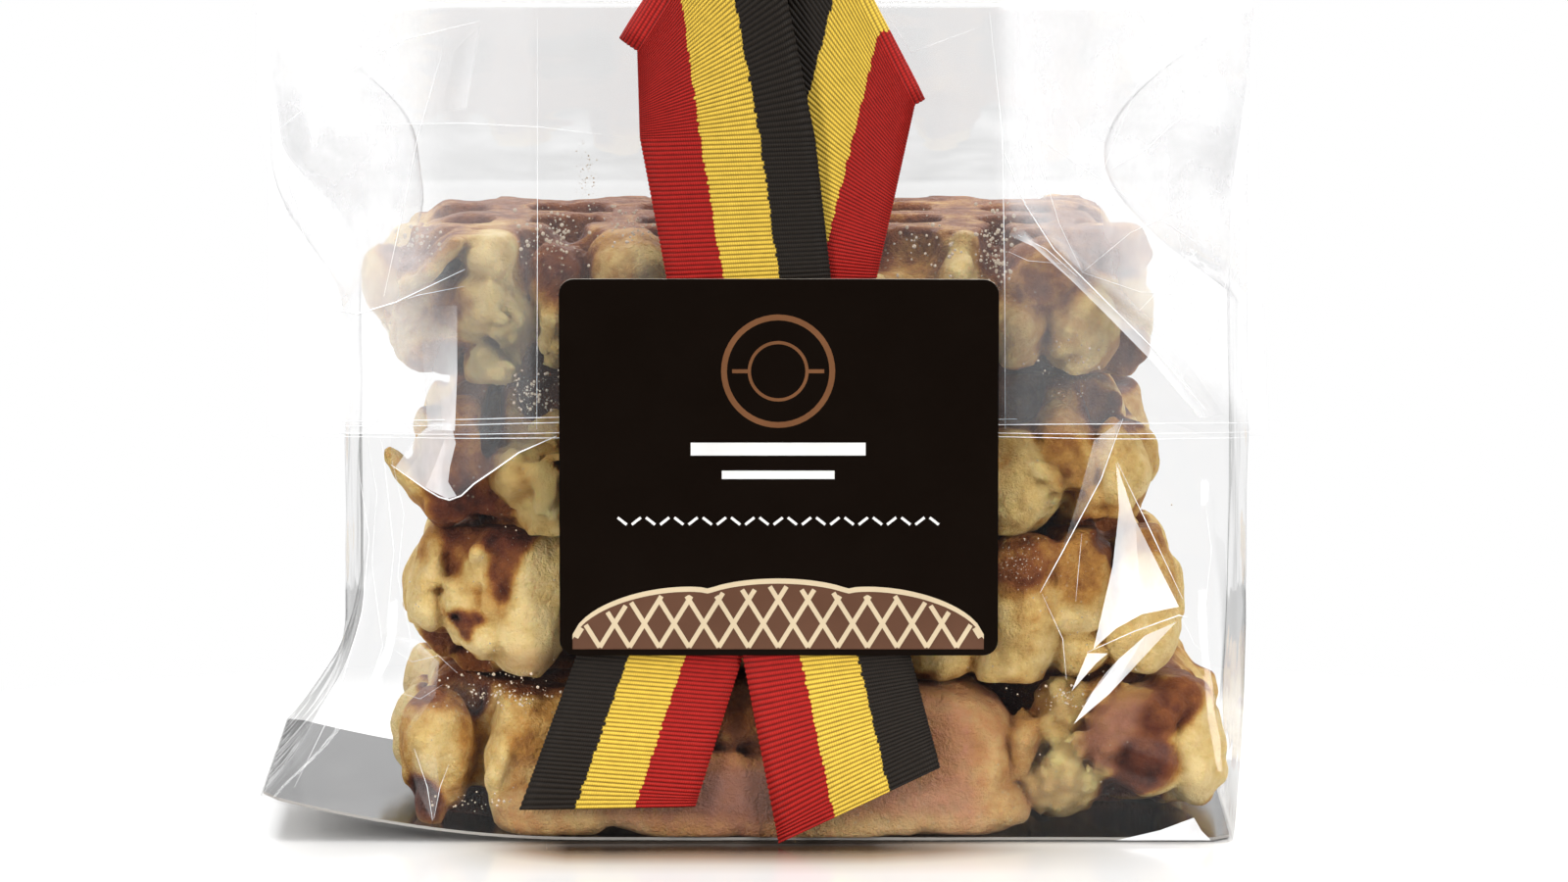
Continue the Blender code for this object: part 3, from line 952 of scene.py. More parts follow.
@dataclass
class WaffleLayer:
    """One thick waffle that lies in the stack.

    Args:
        name: Name of its piece.
        bottom: Height of its underside, in millimetres.
        top: Height of its upper side.
        left: Its left end.
        right: Its right end.
        lobes: Lumps of dough along its front edge.
        hollows: Pockets and gaps along its front edge.
        stains: Patches of other crust on its front.
        seed: Seed of its unevenness.
        wall_step: Distance between the walls of its lattice.
        wall_shift: Where one wall of the lattice stands.
    """

    name: str
    bottom: float
    top: float
    left: float
    right: float
    lobes: list[Lobe]
    hollows: list[Hollow]
    stains: list[Stain]
    seed: int
    wall_step: float = 17.6
    wall_shift: float = 9.4
    depth: float = 76.0

    def walls(self) -> list[float]:
        """Where the lattice's walls stand across the pack."""
        first = math.ceil((self.left + 4 - self.wall_shift) / self.wall_step)
        last = math.floor((self.right - 4 - self.wall_shift) / self.wall_step)
        return [self.wall_shift + step * self.wall_step for step in range(first, last + 1)]

    def edge_lobes(self) -> list[Lobe]:
        """Lumps that stand out along the back and both ends."""
        random = np.random.default_rng(self.seed)
        middle = (self.bottom + self.top) / 2
        lobes = []
        for wall in self.walls():
            wide = random.uniform(9, 14)
            lump = Lobe(
                x=wall + random.uniform(-2, 2),
                z=middle + random.uniform(-2.5, 2.5),
                wide=wide,
                tall=random.uniform(15, 21),
                front=self.depth / 2 - 15.5 + random.uniform(-1.5, 1.5),
                deep=8.0,
                lean=random.uniform(-14, 14),
                bake=random.uniform(0.08, 0.4),
            )
            lobes.append(lump)
        for side in (self.left, self.right):
            for row in (-24, -8, 9, 25):
                inward = 5.0 if side < 0 else -5.0
                lump = Lobe(
                    x=side + inward + random.uniform(-1, 1),
                    z=middle + random.uniform(-2.5, 2.5),
                    wide=13.0,
                    tall=random.uniform(14, 20),
                    front=row - 6.5 + random.uniform(-1.5, 1.5),
                    deep=random.uniform(5.5, 7.5),
                    bake=random.uniform(0.1, 0.4),
                )
                lobes.append(lump)
        return lobes

    def lattice(self) -> list[Hollow]:
        """Pockets between the walls on the upper and lower side."""
        random = np.random.default_rng(self.seed + 50)
        pockets = []
        walls = self.walls()
        starts = [walls[0] - self.wall_step] + walls
        for start in starts:
            for row in (-29, -10, 9, 28):
                for height in (self.top + 0.6, self.bottom - 0.6):
                    pocket = Hollow(
                        x=start + self.wall_step / 2 + random.uniform(-0.8, 0.8),
                        z=height,
                        wide=random.uniform(10.5, 12.5),
                        tall=random.uniform(13.5, 16.5),
                        front=row - 6 + random.uniform(-0.8, 0.8),
                        deep=random.uniform(5.4, 6.4),
                        bake=random.uniform(0.72, 0.95),
                    )
                    pockets.append(pocket)
        return pockets

    def build(self, crust: bpy.types.Material) -> bpy.types.Object:
        """Shapes and skins the waffle."""
        middle = (self.bottom + self.top) / 2
        low = (-72.0, -43.0, self.bottom - 2.5)
        high = (74.0, 43.0, self.top + 2.5)
        dough = DoughField(low, high, self.seed)
        half_width = (self.right - self.left) / 2
        centre = (self.right + self.left) / 2
        dough.axes[0] = dough.axes[0] - centre
        half = (half_width - 4, self.depth / 2 - 7, (self.top - self.bottom) / 2)
        dough.add_slab(half, middle, 6.0)
        dough.axes[0] = dough.axes[0] + centre
        for lump in self.edge_lobes():
            dough.add_lobe(lump, 1.2)
        for pocket in self.lattice():
            dough.cut_hollow(pocket, 1.0, 0.6)
        for lump in self.lobes:
            dough.add_lobe(lump)
        for gap in self.hollows:
            dough.cut_hollow(gap)
        for stain in self.stains:
            dough.paint(stain)
        dough.roughen()
        dough.press(-40.6, self.top, self.bottom)
        piece = dough.skin().build(self.name, [crust])
        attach(piece, ROOT)
        return piece


def bottom_waffle() -> WaffleLayer:
    """The lowest waffle, pressed against the front film."""
    lobes = [
        Lobe(-53.8, 14.4, 12.4, 20.0, -38.4, 8, -4, bake=0.30),
        Lobe(-54.4, 14.6, 8.0, 12.5, -39.6, 5, -4, bake=0.08, torn=0.1),
        Lobe(-56.0, 6.4, 5.0, 7.5, -38.0, 5, -20, bake=0.80),
        Lobe(-38.0, 13.0, 16.0, 23.0, -39.8, 9, 3, bake=0.34, square=0.5),
        Lobe(-44.2, 11.6, 4.6, 15.0, -40.2, 5, 4, bake=0.04),
        Lobe(-36.5, 4.4, 18.0, 8.8, -41.4, 8, 0, bake=0.30, pressed=0.7, square=0.6),
        Lobe(-24.0, 12.0, 16.0, 21.0, -39.0, 9, 0, bake=0.45),
        Lobe(-6.5, 18.5, 17.0, 14.0, -39.4, 9, 0, bake=0.72),
        Lobe(-6.0, 7.0, 44.0, 14.2, -41.4, 9, 0, bake=0.40, pressed=0.9, square=0.9),
        Lobe(22.4, 12.4, 28.0, 24.6, -40.6, 11, 6, bake=0.45, pressed=1.0, square=0.3, flat=2.0),
        Lobe(25.0, 5.4, 26.0, 10.5, -41.2, 8, 0, bake=0.3, pressed=1.0, square=0.4),
        Lobe(9.0, 4.6, 30.0, 8.6, -41.4, 8, 0, bake=0.3, pressed=0.9, square=0.8),
        Lobe(37.6, 15.0, 6.0, 11.0, -40.4, 6, 10, bake=0.38, torn=0.3),
        Lobe(43.6, 18.6, 9.5, 13.0, -39.8, 7, 8, bake=0.06, torn=0.9),
        Lobe(43.4, 9.8, 13.0, 13.0, -40.0, 8, -20, bake=0.0, torn=1.0),
        Lobe(46.0, 14.6, 9.4, 7.0, -40.8, 6, -40, bake=0.0, torn=1.0),
        Lobe(44.0, 14.4, 8.0, 9.0, -40.6, 6, 0, bake=0.0, torn=0.9),
        Lobe(42.6, 21.6, 7.0, 7.0, -39.4, 6, 0, bake=0.12, torn=0.5),
        Lobe(50.0, 21.4, 10.0, 7.0, -38.6, 6, 20, bake=0.66, flat=1.0),
        Lobe(53.6, 16.2, 16.5, 15.0, -40.0, 9, -30, bake=0.12, flat=3.4, face=0.50, turn=5),
        Lobe(55.8, 12.2, 11.0, 13.0, -39.6, 8, -20, bake=0.14, flat=3.0, face=0.70, turn=5),
        Lobe(63.4, 14.6, 11.6, 20.5, -38.0, 9, -6, bake=0.05, torn=0.2),
        Lobe(59.6, 20.0, 11.0, 9.0, -37.6, 8, -30, bake=0.66, square=0.3),
    ]
    hollows = [
        Hollow(-38.0, 26.0, 20.0, 4.2, deep=14, lean=-2, bake=0.80),
        Hollow(56.0, 1.0, 40.0, 7.6, -44.0, 18.0, -3, bake=0.50),
        Hollow(37.0, 23.6, 5.0, 3.4, deep=6, lean=0, bake=0.84),
        Hollow(68.0, 26.4, 14.0, 8.0, -44.0, 24.0, 24, bake=0.78),
    ]
    stains = [
        Stain(-51.4, 22.0, 6.0, 4.0, 0.46, 10, 0.5),
        Stain(-54.0, 14.0, 7.0, 9.0, 0.02, 0, 0.5),
        Stain(-49.4, 14.0, 3.0, 14.0, 0.40, 0, 0.6, 0.8),
        Stain(-56.2, 6.8, 4.6, 7.0, 1.0, -20, 0.25),
        Stain(-35.4, 16.0, 11.0, 13.0, 0.46, 20, 0.4),
        Stain(-40.0, 24.6, 22.0, 3.6, 0.72, 0, 0.4),
        Stain(-6.0, 20.0, 20.0, 13.0, 0.66, 0, 0.3),
        Stain(-8.0, 7.6, 36.0, 9.0, 0.86, 0, 0.5, 1.0, 0.5),
        Stain(34.6, 8.0, 7.0, 13.0, 0.24, 0, 0.5, 0.9, 0.25),
        Stain(14.0, 2.6, 30.0, 4.0, 0.22, 0, 0.5, 0.8, 0.4),
        Stain(20.0, 17.0, 10.0, 7.0, 0.40, 30, 0.7, 0.7, 0.5),
        Stain(52.6, 17.0, 15.0, 11.0, 0.56, -28, 0.2, 1.0, 0.75),
        Stain(56.0, 12.4, 9.6, 10.0, 0.84, -30, 0.16),
        Stain(53.4, 8.6, 9.0, 5.0, 0.95, -20, 0.2),
        Stain(60.2, 20.8, 13.0, 8.0, 0.74, -32, 0.2),
        Stain(52.4, 7.4, 9.0, 4.0, 0.86, -24, 0.3),
        Stain(38.6, 20.8, 4.4, 4.0, 0.50, 0, 0.5),
    ]
    return WaffleLayer("waffle_bottom", 0.7, 25.2, -60.5, 68.0, lobes, hollows, stains, seed=11)


def third_waffle() -> WaffleLayer:
    """The second waffle from the bottom."""
    lobes = [
        Lobe(-55.0, 41.0, 6.4, 18.5, -35.5, 7, 6, bake=0.20),
        Lobe(-55.0, 36.4, 5.0, 10.0, -36.4, 6, -10, bake=0.10),
        Lobe(-50.4, 45.0, 7.0, 9.0, -34.6, 5, 10, bake=0.66),
        Lobe(-49.6, 36.6, 7.4, 14.0, -39.0, 8, -10, bake=0.04),
        Lobe(-46.8, 31.6, 8.6, 6.6, -38.8, 7, -24, bake=0.14),
        Lobe(-47.4, 43.2, 5.4, 12.5, -38.8, 7, 14, bake=0.10),
        Lobe(-43.0, 43.8, 9.0, 13.0, -37.6, 7, 10, bake=0.44, flat=2.0, face=0.56, turn=-10),
        Lobe(-38.0, 37.4, 12.8, 22.0, -40.4, 9, 14, bake=0.02, torn=0.15, square=0.3),
        Lobe(-40.6, 31.4, 9.0, 7.6, -40.2, 6, 10, bake=0.08, torn=0.1),
        Lobe(-45.2, 38.4, 7.0, 8.0, -39.0, 7, 0, bake=0.14),
        Lobe(-25.0, 36.0, 15.0, 20.0, -37.0, 9, 0, bake=0.3),
        Lobe(-7.0, 36.0, 14.0, 19.0, -38.0, 9, 6, bake=0.2),
        Lobe(10.0, 36.0, 14.0, 19.0, -37.0, 9, -6, bake=0.25),
        Lobe(24.5, 30.5, 12.0, 13.0, -38.5, 8, 30, bake=0.14),
        Lobe(36.0, 34.4, 14.6, 25.0, -40.4, 10, 8, bake=0.10, torn=0.08, square=0.2),
        Lobe(37.0, 43.6, 14.0, 8.0, -39.4, 7, -12, bake=0.50, flat=1.0, face=0.52, nod=14),
        Lobe(46.6, 41.8, 9.0, 13.4, -37.4, 7, 0, bake=0.40, square=0.8, flat=1.0, face=0.48),
        Lobe(45.6, 34.6, 9.0, 5.0, -38.8, 6, 0, bake=0.06),
        Lobe(46.2, 29.0, 9.0, 7.6, -38.2, 6, 0, bake=0.46),
        Lobe(56.6, 39.6, 9.5, 21.0, -37.4, 8, -4, bake=0.18),
        Lobe(55.6, 31.4, 12.0, 13.0, -38.4, 7, 22, bake=0.20, torn=0.1),
    ]
    hollows = [
        Hollow(-51.2, 48.4, 4.6, 6.0, deep=5.0, lean=14, bake=0.72),
        Hollow(-49.6, 35.0, 3.6, 1.8, deep=4.0, lean=6, bake=0.86),
        Hollow(-50.0, 28.0, 5.0, 4.0, deep=10, lean=0, bake=0.80),
        Hollow(50.4, 47.0, 4.4, 4.0, deep=12, lean=30, bake=0.84),
    ]
    stains = [
        Stain(-51.2, 48.2, 6.4, 8.0, 0.78, 12, 0.25),
        Stain(-51.4, 43.6, 2.6, 5.0, 0.62, 14, 0.4),
        Stain(-55.6, 46.6, 3.6, 5.0, 0.40, 0, 0.6),
        Stain(-43.0, 43.2, 5.0, 11.0, 0.76, 14, 0.2),
        Stain(-43.0, 48.0, 9.4, 5.4, 0.86, 0, 0.25),
        Stain(-49.8, 35.0, 3.4, 2.6, 1.0, 0, 0.25),
        Stain(-47.4, 35.5, 3.0, 1.5, 0.92, 10, 0.25),
        Stain(-49.2, 33.2, 2.4, 3.0, 0.80, -24, 0.3),
        Stain(-37.6, 40.0, 7.0, 14.0, 0.02, 12, 0.3),
        Stain(-46.0, 38.0, 6.0, 2.6, 0.34, 40, 0.6),
        Stain(-38.6, 28.8, 12.0, 5.0, 0.30, 0, 0.5, 0.8, 0.5),
        Stain(37.4, 43.6, 15.0, 8.6, 0.68, -10, 0.35),
        Stain(46.6, 42.6, 8.4, 10.0, 0.48, 0, 0.3),
        Stain(38.6, 36.0, 5.0, 5.0, 0.34, 0, 0.7, 0.7),
        Stain(59.0, 40.6, 4.0, 14.0, 0.40, 0, 0.6, 0.7),
        Stain(54.0, 32.4, 7.0, 4.0, 0.40, 20, 0.6, 0.7),
    ]
    return WaffleLayer("waffle_third", 24.4, 48.4, -58.0, 60.8, lobes, hollows, stains, seed=23)


def second_waffle() -> WaffleLayer:
    """The second waffle from the top, torn at its left."""
    lobes = [
        Lobe(-56.8, 54.4, 3.6, 13.0, -35.5, 7, -38, bake=0.20),
        Lobe(-50.0, 58.0, 12.0, 22.0, -36.0, 8, 6, bake=0.66, flat=2.0, face=0.66),
        Lobe(-46.6, 51.6, 14.0, 7.0, -36.0, 7, 10, bake=0.80),
        Lobe(-52.0, 51.4, 8.0, 6.0, -36.4, 7, 14, bake=0.80),
        Lobe(-41.2, 56.6, 9.6, 10.0, -41.0, 7, -20, bake=0.0, torn=1.0),
        Lobe(-37.0, 56.6, 11.0, 13.0, -41.0, 8, 0, bake=0.06, torn=1.0),
        Lobe(-35.5, 61.4, 9.0, 9.0, -39.4, 6, 30, bake=0.36, torn=0.9),
        Lobe(-37.0, 50.4, 10.6, 6.6, -40.0, 6, -8, bake=0.04, torn=0.1),
        Lobe(-22.0, 59.0, 15.0, 20.0, -37.0, 9, 0, bake=0.3),
        Lobe(-6.0, 59.0, 14.0, 19.0, -38.0, 9, 0, bake=0.25),
        Lobe(11.0, 59.0, 14.0, 19.0, -37.0, 9, 0, bake=0.25),
        Lobe(26.0, 58.0, 13.0, 19.0, -38.0, 9, 0, bake=0.3),
        Lobe(36.0, 56.0, 14.0, 19.0, -40.2, 9, 10, bake=0.20, torn=0.3),
        Lobe(40.4, 57.0, 6.0, 9.0, -39.8, 6, -30, bake=0.06, torn=0.7),
        Lobe(44.4, 61.0, 10.0, 15.0, -37.4, 7, -16, bake=0.44, flat=2.0, face=0.50),
        Lobe(52.0, 57.4, 9.4, 17.0, -38.6, 8, -2, bake=0.10),
        Lobe(47.0, 53.0, 6.0, 9.0, -37.2, 6, 0, bake=0.36),
    ]
    hollows = [
        Hollow(-45.4, 64.4, 3.0, 12.0, deep=11, lean=10, bake=0.80),
        Hollow(-50.0, 48.0, 8.0, 2.4, deep=8, lean=-14, bake=0.86),
        Hollow(-35.2, 58.2, 3.4, 1.2, -41.6, 3.0, 30, bake=0.35),
        Hollow(48.0, 49.4, 6.0, 3.2, deep=13, lean=0, bake=0.90),
    ]
    stains = [
        Stain(-50.0, 60.0, 10.0, 20.0, 0.66, 6, 0.3),
        Stain(-50.0, 52.0, 9.0, 6.4, 0.84, 8, 0.25),
        Stain(-35.0, 61.6, 7.0, 7.0, 0.40, 20, 0.5),
        Stain(-34.6, 57.0, 5.0, 6.0, 0.34, 0, 0.6),
        Stain(43.6, 58.8, 6.6, 14.0, 0.52, -14, 0.35),
        Stain(34.0, 60.0, 7.0, 6.0, 0.38, 0, 0.6),
        Stain(34.6, 49.0, 8.0, 4.0, 0.44, 10, 0.6),
        Stain(49.6, 51.6, 6.0, 4.0, 0.48, 0, 0.5),
    ]
    return WaffleLayer("waffle_second", 47.7, 71.2, -57.0, 57.0, lobes, hollows, stains, seed=37)


def top_waffle() -> WaffleLayer:
    """The top waffle, whose upper lattice shows."""
    lobes = [
        Lobe(-60.0, 86.0, 12.0, 16.0, -27.0, 9, 10, bake=0.40),
        Lobe(-55.0, 78.0, 13.0, 12.0, -32.0, 8, -34, bake=0.34),
        Lobe(-53.0, 90.6, 3.6, 19.0, -39.6, 9, 50, bake=0.30),
        Lobe(-49.6, 84.4, 7.0, 10.0, -36.4, 8, 40, bake=0.56),
        Lobe(-45.0, 90.4, 8.4, 10.0, -40.2, 9, 0, bake=0.04, torn=0.2),
        Lobe(-45.4, 84.0, 10.4, 12.0, -40.4, 9, -4, bake=0.0, torn=0.35),
        Lobe(-41.8, 81.0, 7.6, 9.0, -40.4, 9, 4, bake=0.0, torn=0.6),
        Lobe(-45.0, 73.8, 8.6, 6.6, -39.8, 8, 0, bake=0.04, torn=0.6),
        Lobe(-35.0, 87.0, 9.0, 12.0, -36.0, 8, 0, bake=0.60, flat=2.0, face=0.62),
        Lobe(-23.5, 88.0, 15.5, 12.5, -39.2, 9, 8, bake=0.16, torn=0.15),
        Lobe(-35.6, 81.4, 4.2, 13.0, -38.4, 6, 0, bake=0.08),
        Lobe(-26.0, 78.0, 15.0, 12.0, -38.4, 9, 0, bake=0.14),
        Lobe(-8.0, 82.0, 12.0, 18.0, -38.0, 9, 0, bake=0.25),
        Lobe(14.6, 83.0, 8.5, 14.0, -39.4, 8, -24, bake=0.10, torn=0.2),
        Lobe(26.8, 84.0, 8.0, 18.0, -39.6, 9, 4, bake=0.08, torn=0.2),
        Lobe(40.6, 87.0, 13.5, 11.0, -37.4, 8, -28, bake=0.58, flat=2.0, face=0.60),
        Lobe(37.0, 79.2, 9.5, 12.0, -39.4, 9, 20, bake=0.16, torn=0.3),
        Lobe(46.4, 79.4, 13.0, 14.0, -39.4, 9, -24, bake=0.18, torn=0.3),
        Lobe(50.0, 91.0, 14.0, 7.0, -30.0, 9, 8, bake=0.62),
    ]
    hollows = [
        Hollow(-60.6, 92.0, 8.0, 7.0, -42, 16, 40, bake=0.70),
        Hollow(-33.8, 95.0, 6.6, 7.0, deep=16, lean=0, bake=0.70),
        Hollow(20.6, 92.4, 8.0, 10.0, deep=9, lean=0, bake=0.60),
        Hollow(33.2, 93.5, 4.4, 10.0, deep=18, lean=0, bake=0.76),
        Hollow(41.0, 71.0, 14.0, 4.0, deep=14, lean=8, bake=0.86),
        Hollow(59.0, 91.0, 8.0, 18.0, -44.0, 14.0, -40, bake=0.66),
    ]
    stains = [
        Stain(-57.2, 93.0, 12.0, 7.0, 0.70, -40, 0.3),
        Stain(-50.0, 85.4, 5.0, 12.0, 0.64, 46, 0.4),
        Stain(-34.6, 89.6, 8.4, 12.0, 0.80, 0, 0.3),
        Stain(20.8, 89.0, 9.0, 8.0, 0.44, 0, 0.25),
        Stain(33.4, 89.6, 4.6, 9.0, 0.70, 0, 0.3),
        Stain(42.6, 87.8, 14.0, 9.0, 0.60, -30, 0.35),
        Stain(41.4, 79.0, 3.6, 7.0, 0.42, 20, 0.6, 0.8),
        Stain(-57.0, 93.6, 12.0, 4.0, 0.62, 4, 0.4, 0.8),
        Stain(-45.4, 88.0, 8.0, 14.0, 0.0, 0, 0.4, 0.8),
    ]
    return WaffleLayer("waffle_top", 71.0, 94.5, -62.0, 56.0, lobes, hollows, stains, seed=41)


# --- Bag -----------------------------------------------------------------------------


@dataclass(frozen=True)
class PackShape:
    """The pack's outline, repeated from the solids, in millimetres."""

    front: float = -41.0
    back: float = 41.0
    base_left: float = -81.5
    base_right: float = 70.0
    body_left: float = -68.6
    body_right: float = 72.2
    top_left: float = -79.5
    top_right: float = 72.2
    flare_height: float = 34.0
    fill_height: float = 94.0
    fold_height: float = 130.0
    fold_thickness: float = 1.6
    base_corner: float = 3.0
    body_corner: float = 12.0
    tuck_depth: float = 22.0
    tuck_start: float = 82.0
    curl_start: float = -30.0
    curl_lift: float = 7.0
    flap_bottom: float = 64.5

    def sides(self, height: float) -> tuple[float, float]:
        """Where the left and right sides stand at a height."""
        if height < self.flare_height:
            spread = (1 - height / self.flare_height) ** 1.6
            left = mix(self.body_left, self.base_left, spread)
            return left, mix(self.body_right, self.base_right, spread)
        widening = ease((height - self.tuck_start) / (self.fill_height + 12 - self.tuck_start))
        left = mix(self.body_left, self.top_left, widening)
        return left, mix(self.body_right, self.top_right, widening)

    def back_at(self, height: float) -> float:
        """The back panel's position, upright to the fill and then leaning to the fold."""
        lean = max(0.0, (height - self.fill_height) / (self.fold_height - self.fill_height))
        return mix(self.back, self.front + self.fold_thickness, lean)

    def tuck_at(self, height: float) -> float:
        """How far the gussets are drawn in at a height."""
        share = (height - self.tuck_start) / (self.fold_height - self.tuck_start)
        return self.tuck_depth * math.sin(math.pi * min(max(share, 0.0), 1.0))

    def corner_at(self, height: float) -> float:
        """The radius of the upright corners at a height."""
        wanted = mix(self.base_corner, self.body_corner, ease(height / self.flare_height))
        return min(wanted, 0.4 * (self.back_at(height) - self.front))

    def curl_at(self, x: float) -> float:
        """Rise of the base towards its left edge."""
        share = max(0.0, (self.curl_start - x) / (self.curl_start - self.base_left))
        return self.curl_lift * share * share

    def flap_edges(self, height: float) -> tuple[float, float]:
        """Where the flap's left and right edges hang at a height."""
        share = ease((height - 104) / 12)
        rise = (height - self.flap_bottom) / (self.fold_height - self.flap_bottom)
        return mix(-79.5, -81.1, share), mix(74.6, 72.0, rise)


SHAPE = PackShape()


class Panel(Enum):
    """The runs of film round the pack, with their share of its girth."""

    LEFT_BACK_CORNER = 0.045
    LEFT_SIDE = 0.136
    LEFT_FRONT_CORNER = 0.0451
    FRONT = 0.274
    RIGHT_FRONT_CORNER = 0.0449
    RIGHT_SIDE = 0.1361
    RIGHT_BACK_CORNER = 0.0452
    BACK = 0.2737


@dataclass
class FilmBody:
    """The clear tube of film round the waffles, with its base and gussets.

    Args:
        columns: Steps round the pack.
        rows: Steps up the pack.
        seed: Seed of its crumples.
        haze_and_sheen: How milky it is.
    """

    columns: int = 300
    rows: int = 92
    seed: int = 5
    haze_and_sheen: float = 0.004

    def point(self, around: float, height: float) -> tuple[Vector, Vector]:
        """A point of the uncrumpled film and its outward direction.

        Args:
            around: Place round the pack, from 0 to 1, counterclockwise from the back left.
            height: Height in millimetres.

        Returns:
            The point and a unit vector that leads out of the pack.
        """
        left, right = SHAPE.sides(height)
        back, radius = SHAPE.back_at(height), SHAPE.corner_at(height)
        near, far = SHAPE.front + radius, back - radius
        tuck = SHAPE.tuck_at(height) + 1.6 * ease(height / 20) * ease((110 - height) / 30)
        start = 0.0
        for panel in Panel:
            if around <= start + panel.value or panel is Panel.BACK:
                break
            start += panel.value
        share = min((around - start) / panel.value, 1.0)
        if panel is Panel.FRONT:
            x = mix(left + radius, right - radius, share)
            return Vector((x, SHAPE.front, height)), Vector((0, -1, 0))
        if panel is Panel.BACK:
            x = mix(right - radius, left + radius, share)
            return Vector((x, back, height)), Vector((0, 1, 0))
        if panel is Panel.LEFT_SIDE:
            draw = tuck * (1 - abs(2 * share - 1))
            return Vector((left + draw, mix(far, near, share), height)), Vector((-1, 0, 0))
        if panel is Panel.RIGHT_SIDE:
            draw = tuck * (1 - abs(2 * share - 1))
            return Vector((right - draw, mix(near, far, share), height)), Vector((1, 0, 0))
        turns = {
            Panel.LEFT_BACK_CORNER: (left + radius, far, 0.5),
            Panel.LEFT_FRONT_CORNER: (left + radius, near, 1.0),
            Panel.RIGHT_FRONT_CORNER: (right - radius, near, 1.5),
            Panel.RIGHT_BACK_CORNER: (right - radius, far, 0.0),
        }
        centre_x, centre_y, quarter = turns[panel]
        angle = math.pi * (quarter + share / 2)
        out = Vector((math.cos(angle), math.sin(angle), 0))
        return Vector((centre_x, centre_y, height)) + out * radius, out

    def crumples(self) -> np.ndarray:
        """How far the film stands out, by row and column."""
        random = np.random.default_rng(self.seed)
        shape = (self.rows + 1, self.columns)
        lift = 0.55 * lattice_noise(shape, 11, self.seed)
        lift += 0.22 * lattice_noise(shape, 4.5, self.seed + 1)
        rows, columns = np.mgrid[0 : shape[0], 0 : shape[1]].astype(float)
        for _ in range(130):
            row, column = random.uniform(2, self.rows - 2), random.uniform(0, self.columns)
            angle = random.uniform(-1.3, 1.3) + math.pi / 2 * random.integers(0, 2)
            length, width = random.uniform(5, 20), random.uniform(1.5, 4.0)
            height = random.uniform(0.3, 1.0) * random.choice((-0.6, 1.0))
            offset = (columns - column + self.columns / 2) % self.columns - self.columns / 2
            along = offset * math.cos(angle) + (rows - row) * math.sin(angle)
            away = -offset * math.sin(angle) + (rows - row) * math.cos(angle)
            tent = np.clip(1 - np.abs(away) / width, 0, 1)
            lift += height * tent * np.clip(1 - np.abs(along) / length, 0, 1)
        return lift

    def build(self, film: bpy.types.Material) -> bpy.types.Object:
        """Makes the film tube with its closed base."""
        lift = self.crumples()
        points, haze_and_sheen = [], []
        for row in range(self.rows + 1):
            height = SHAPE.fold_height * row / self.rows
            calm = ease(height / 12) * ease((SHAPE.fold_height - height) / 8)
            for column in range(self.columns):
                point, out = self.point(column / self.columns, height)
                reach = float(lift[row, column]) * calm
                if abs(out.x) > 0.95:
                    reach *= 0.35 if height < 88 else 0.5
                if out.y < -0.7:
                    reach = 0.15 + self.front_reach(point.x, height, reach)
                point += out * reach
                point.z += 0.12 + SHAPE.curl_at(point.x) * max(0.0, 1 - height / 34)
                points.append(point)
                haze_and_sheen.append(self.haze_and_sheen)
        faces = []
        for row in range(self.rows):
            for column in range(self.columns):
                after = (column + 1) % self.columns
                low, high = row * self.columns, (row + 1) * self.columns
                faces.append((low + column, low + after, high + after, high + column))
        faces += self.base_faces(points[: self.columns])
        values = {"haze_and_sheen": np.array(haze_and_sheen)}
        piece = MeshSketch(np.array(points), faces, values=values).build("film_body", [film])
        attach(piece, ROOT)
        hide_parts("bag")
        return piece

    @staticmethod
    def front_reach(x: float, height: float, reach: float) -> float:
        """Keeps the front film behind the flap, the ribbon and the label."""
        if height > 60:
            return min(max(reach * 0.3, -0.1), 0.25)
        if -44 < x < 28:
            return min(max(reach * 0.5, -0.1), 0.7)
        return min(max(reach, -0.25), 1.6)

    def base_faces(self, ring: list[Vector]) -> list[tuple[int, ...]]:
        """Strips between the front and the back of the lowest ring."""
        order = sorted(range(len(ring)), key=lambda number: ring[number].x)
        front = [n for n in order if ring[n].y < 0]
        rear = [n for n in order if ring[n].y >= 0]
        faces = []
        i = j = 0
        while i < len(front) - 1 or j < len(rear) - 1:
            step_front = j == len(rear) - 1
            if i < len(front) - 1 and j < len(rear) - 1:
                step_front = ring[front[i + 1]].x <= ring[rear[j + 1]].x
            if step_front:
                faces.append((front[i + 1], front[i], rear[j]))
                i += 1
            else:
                faces.append((front[i], rear[j], rear[j + 1]))
                j += 1
        return faces


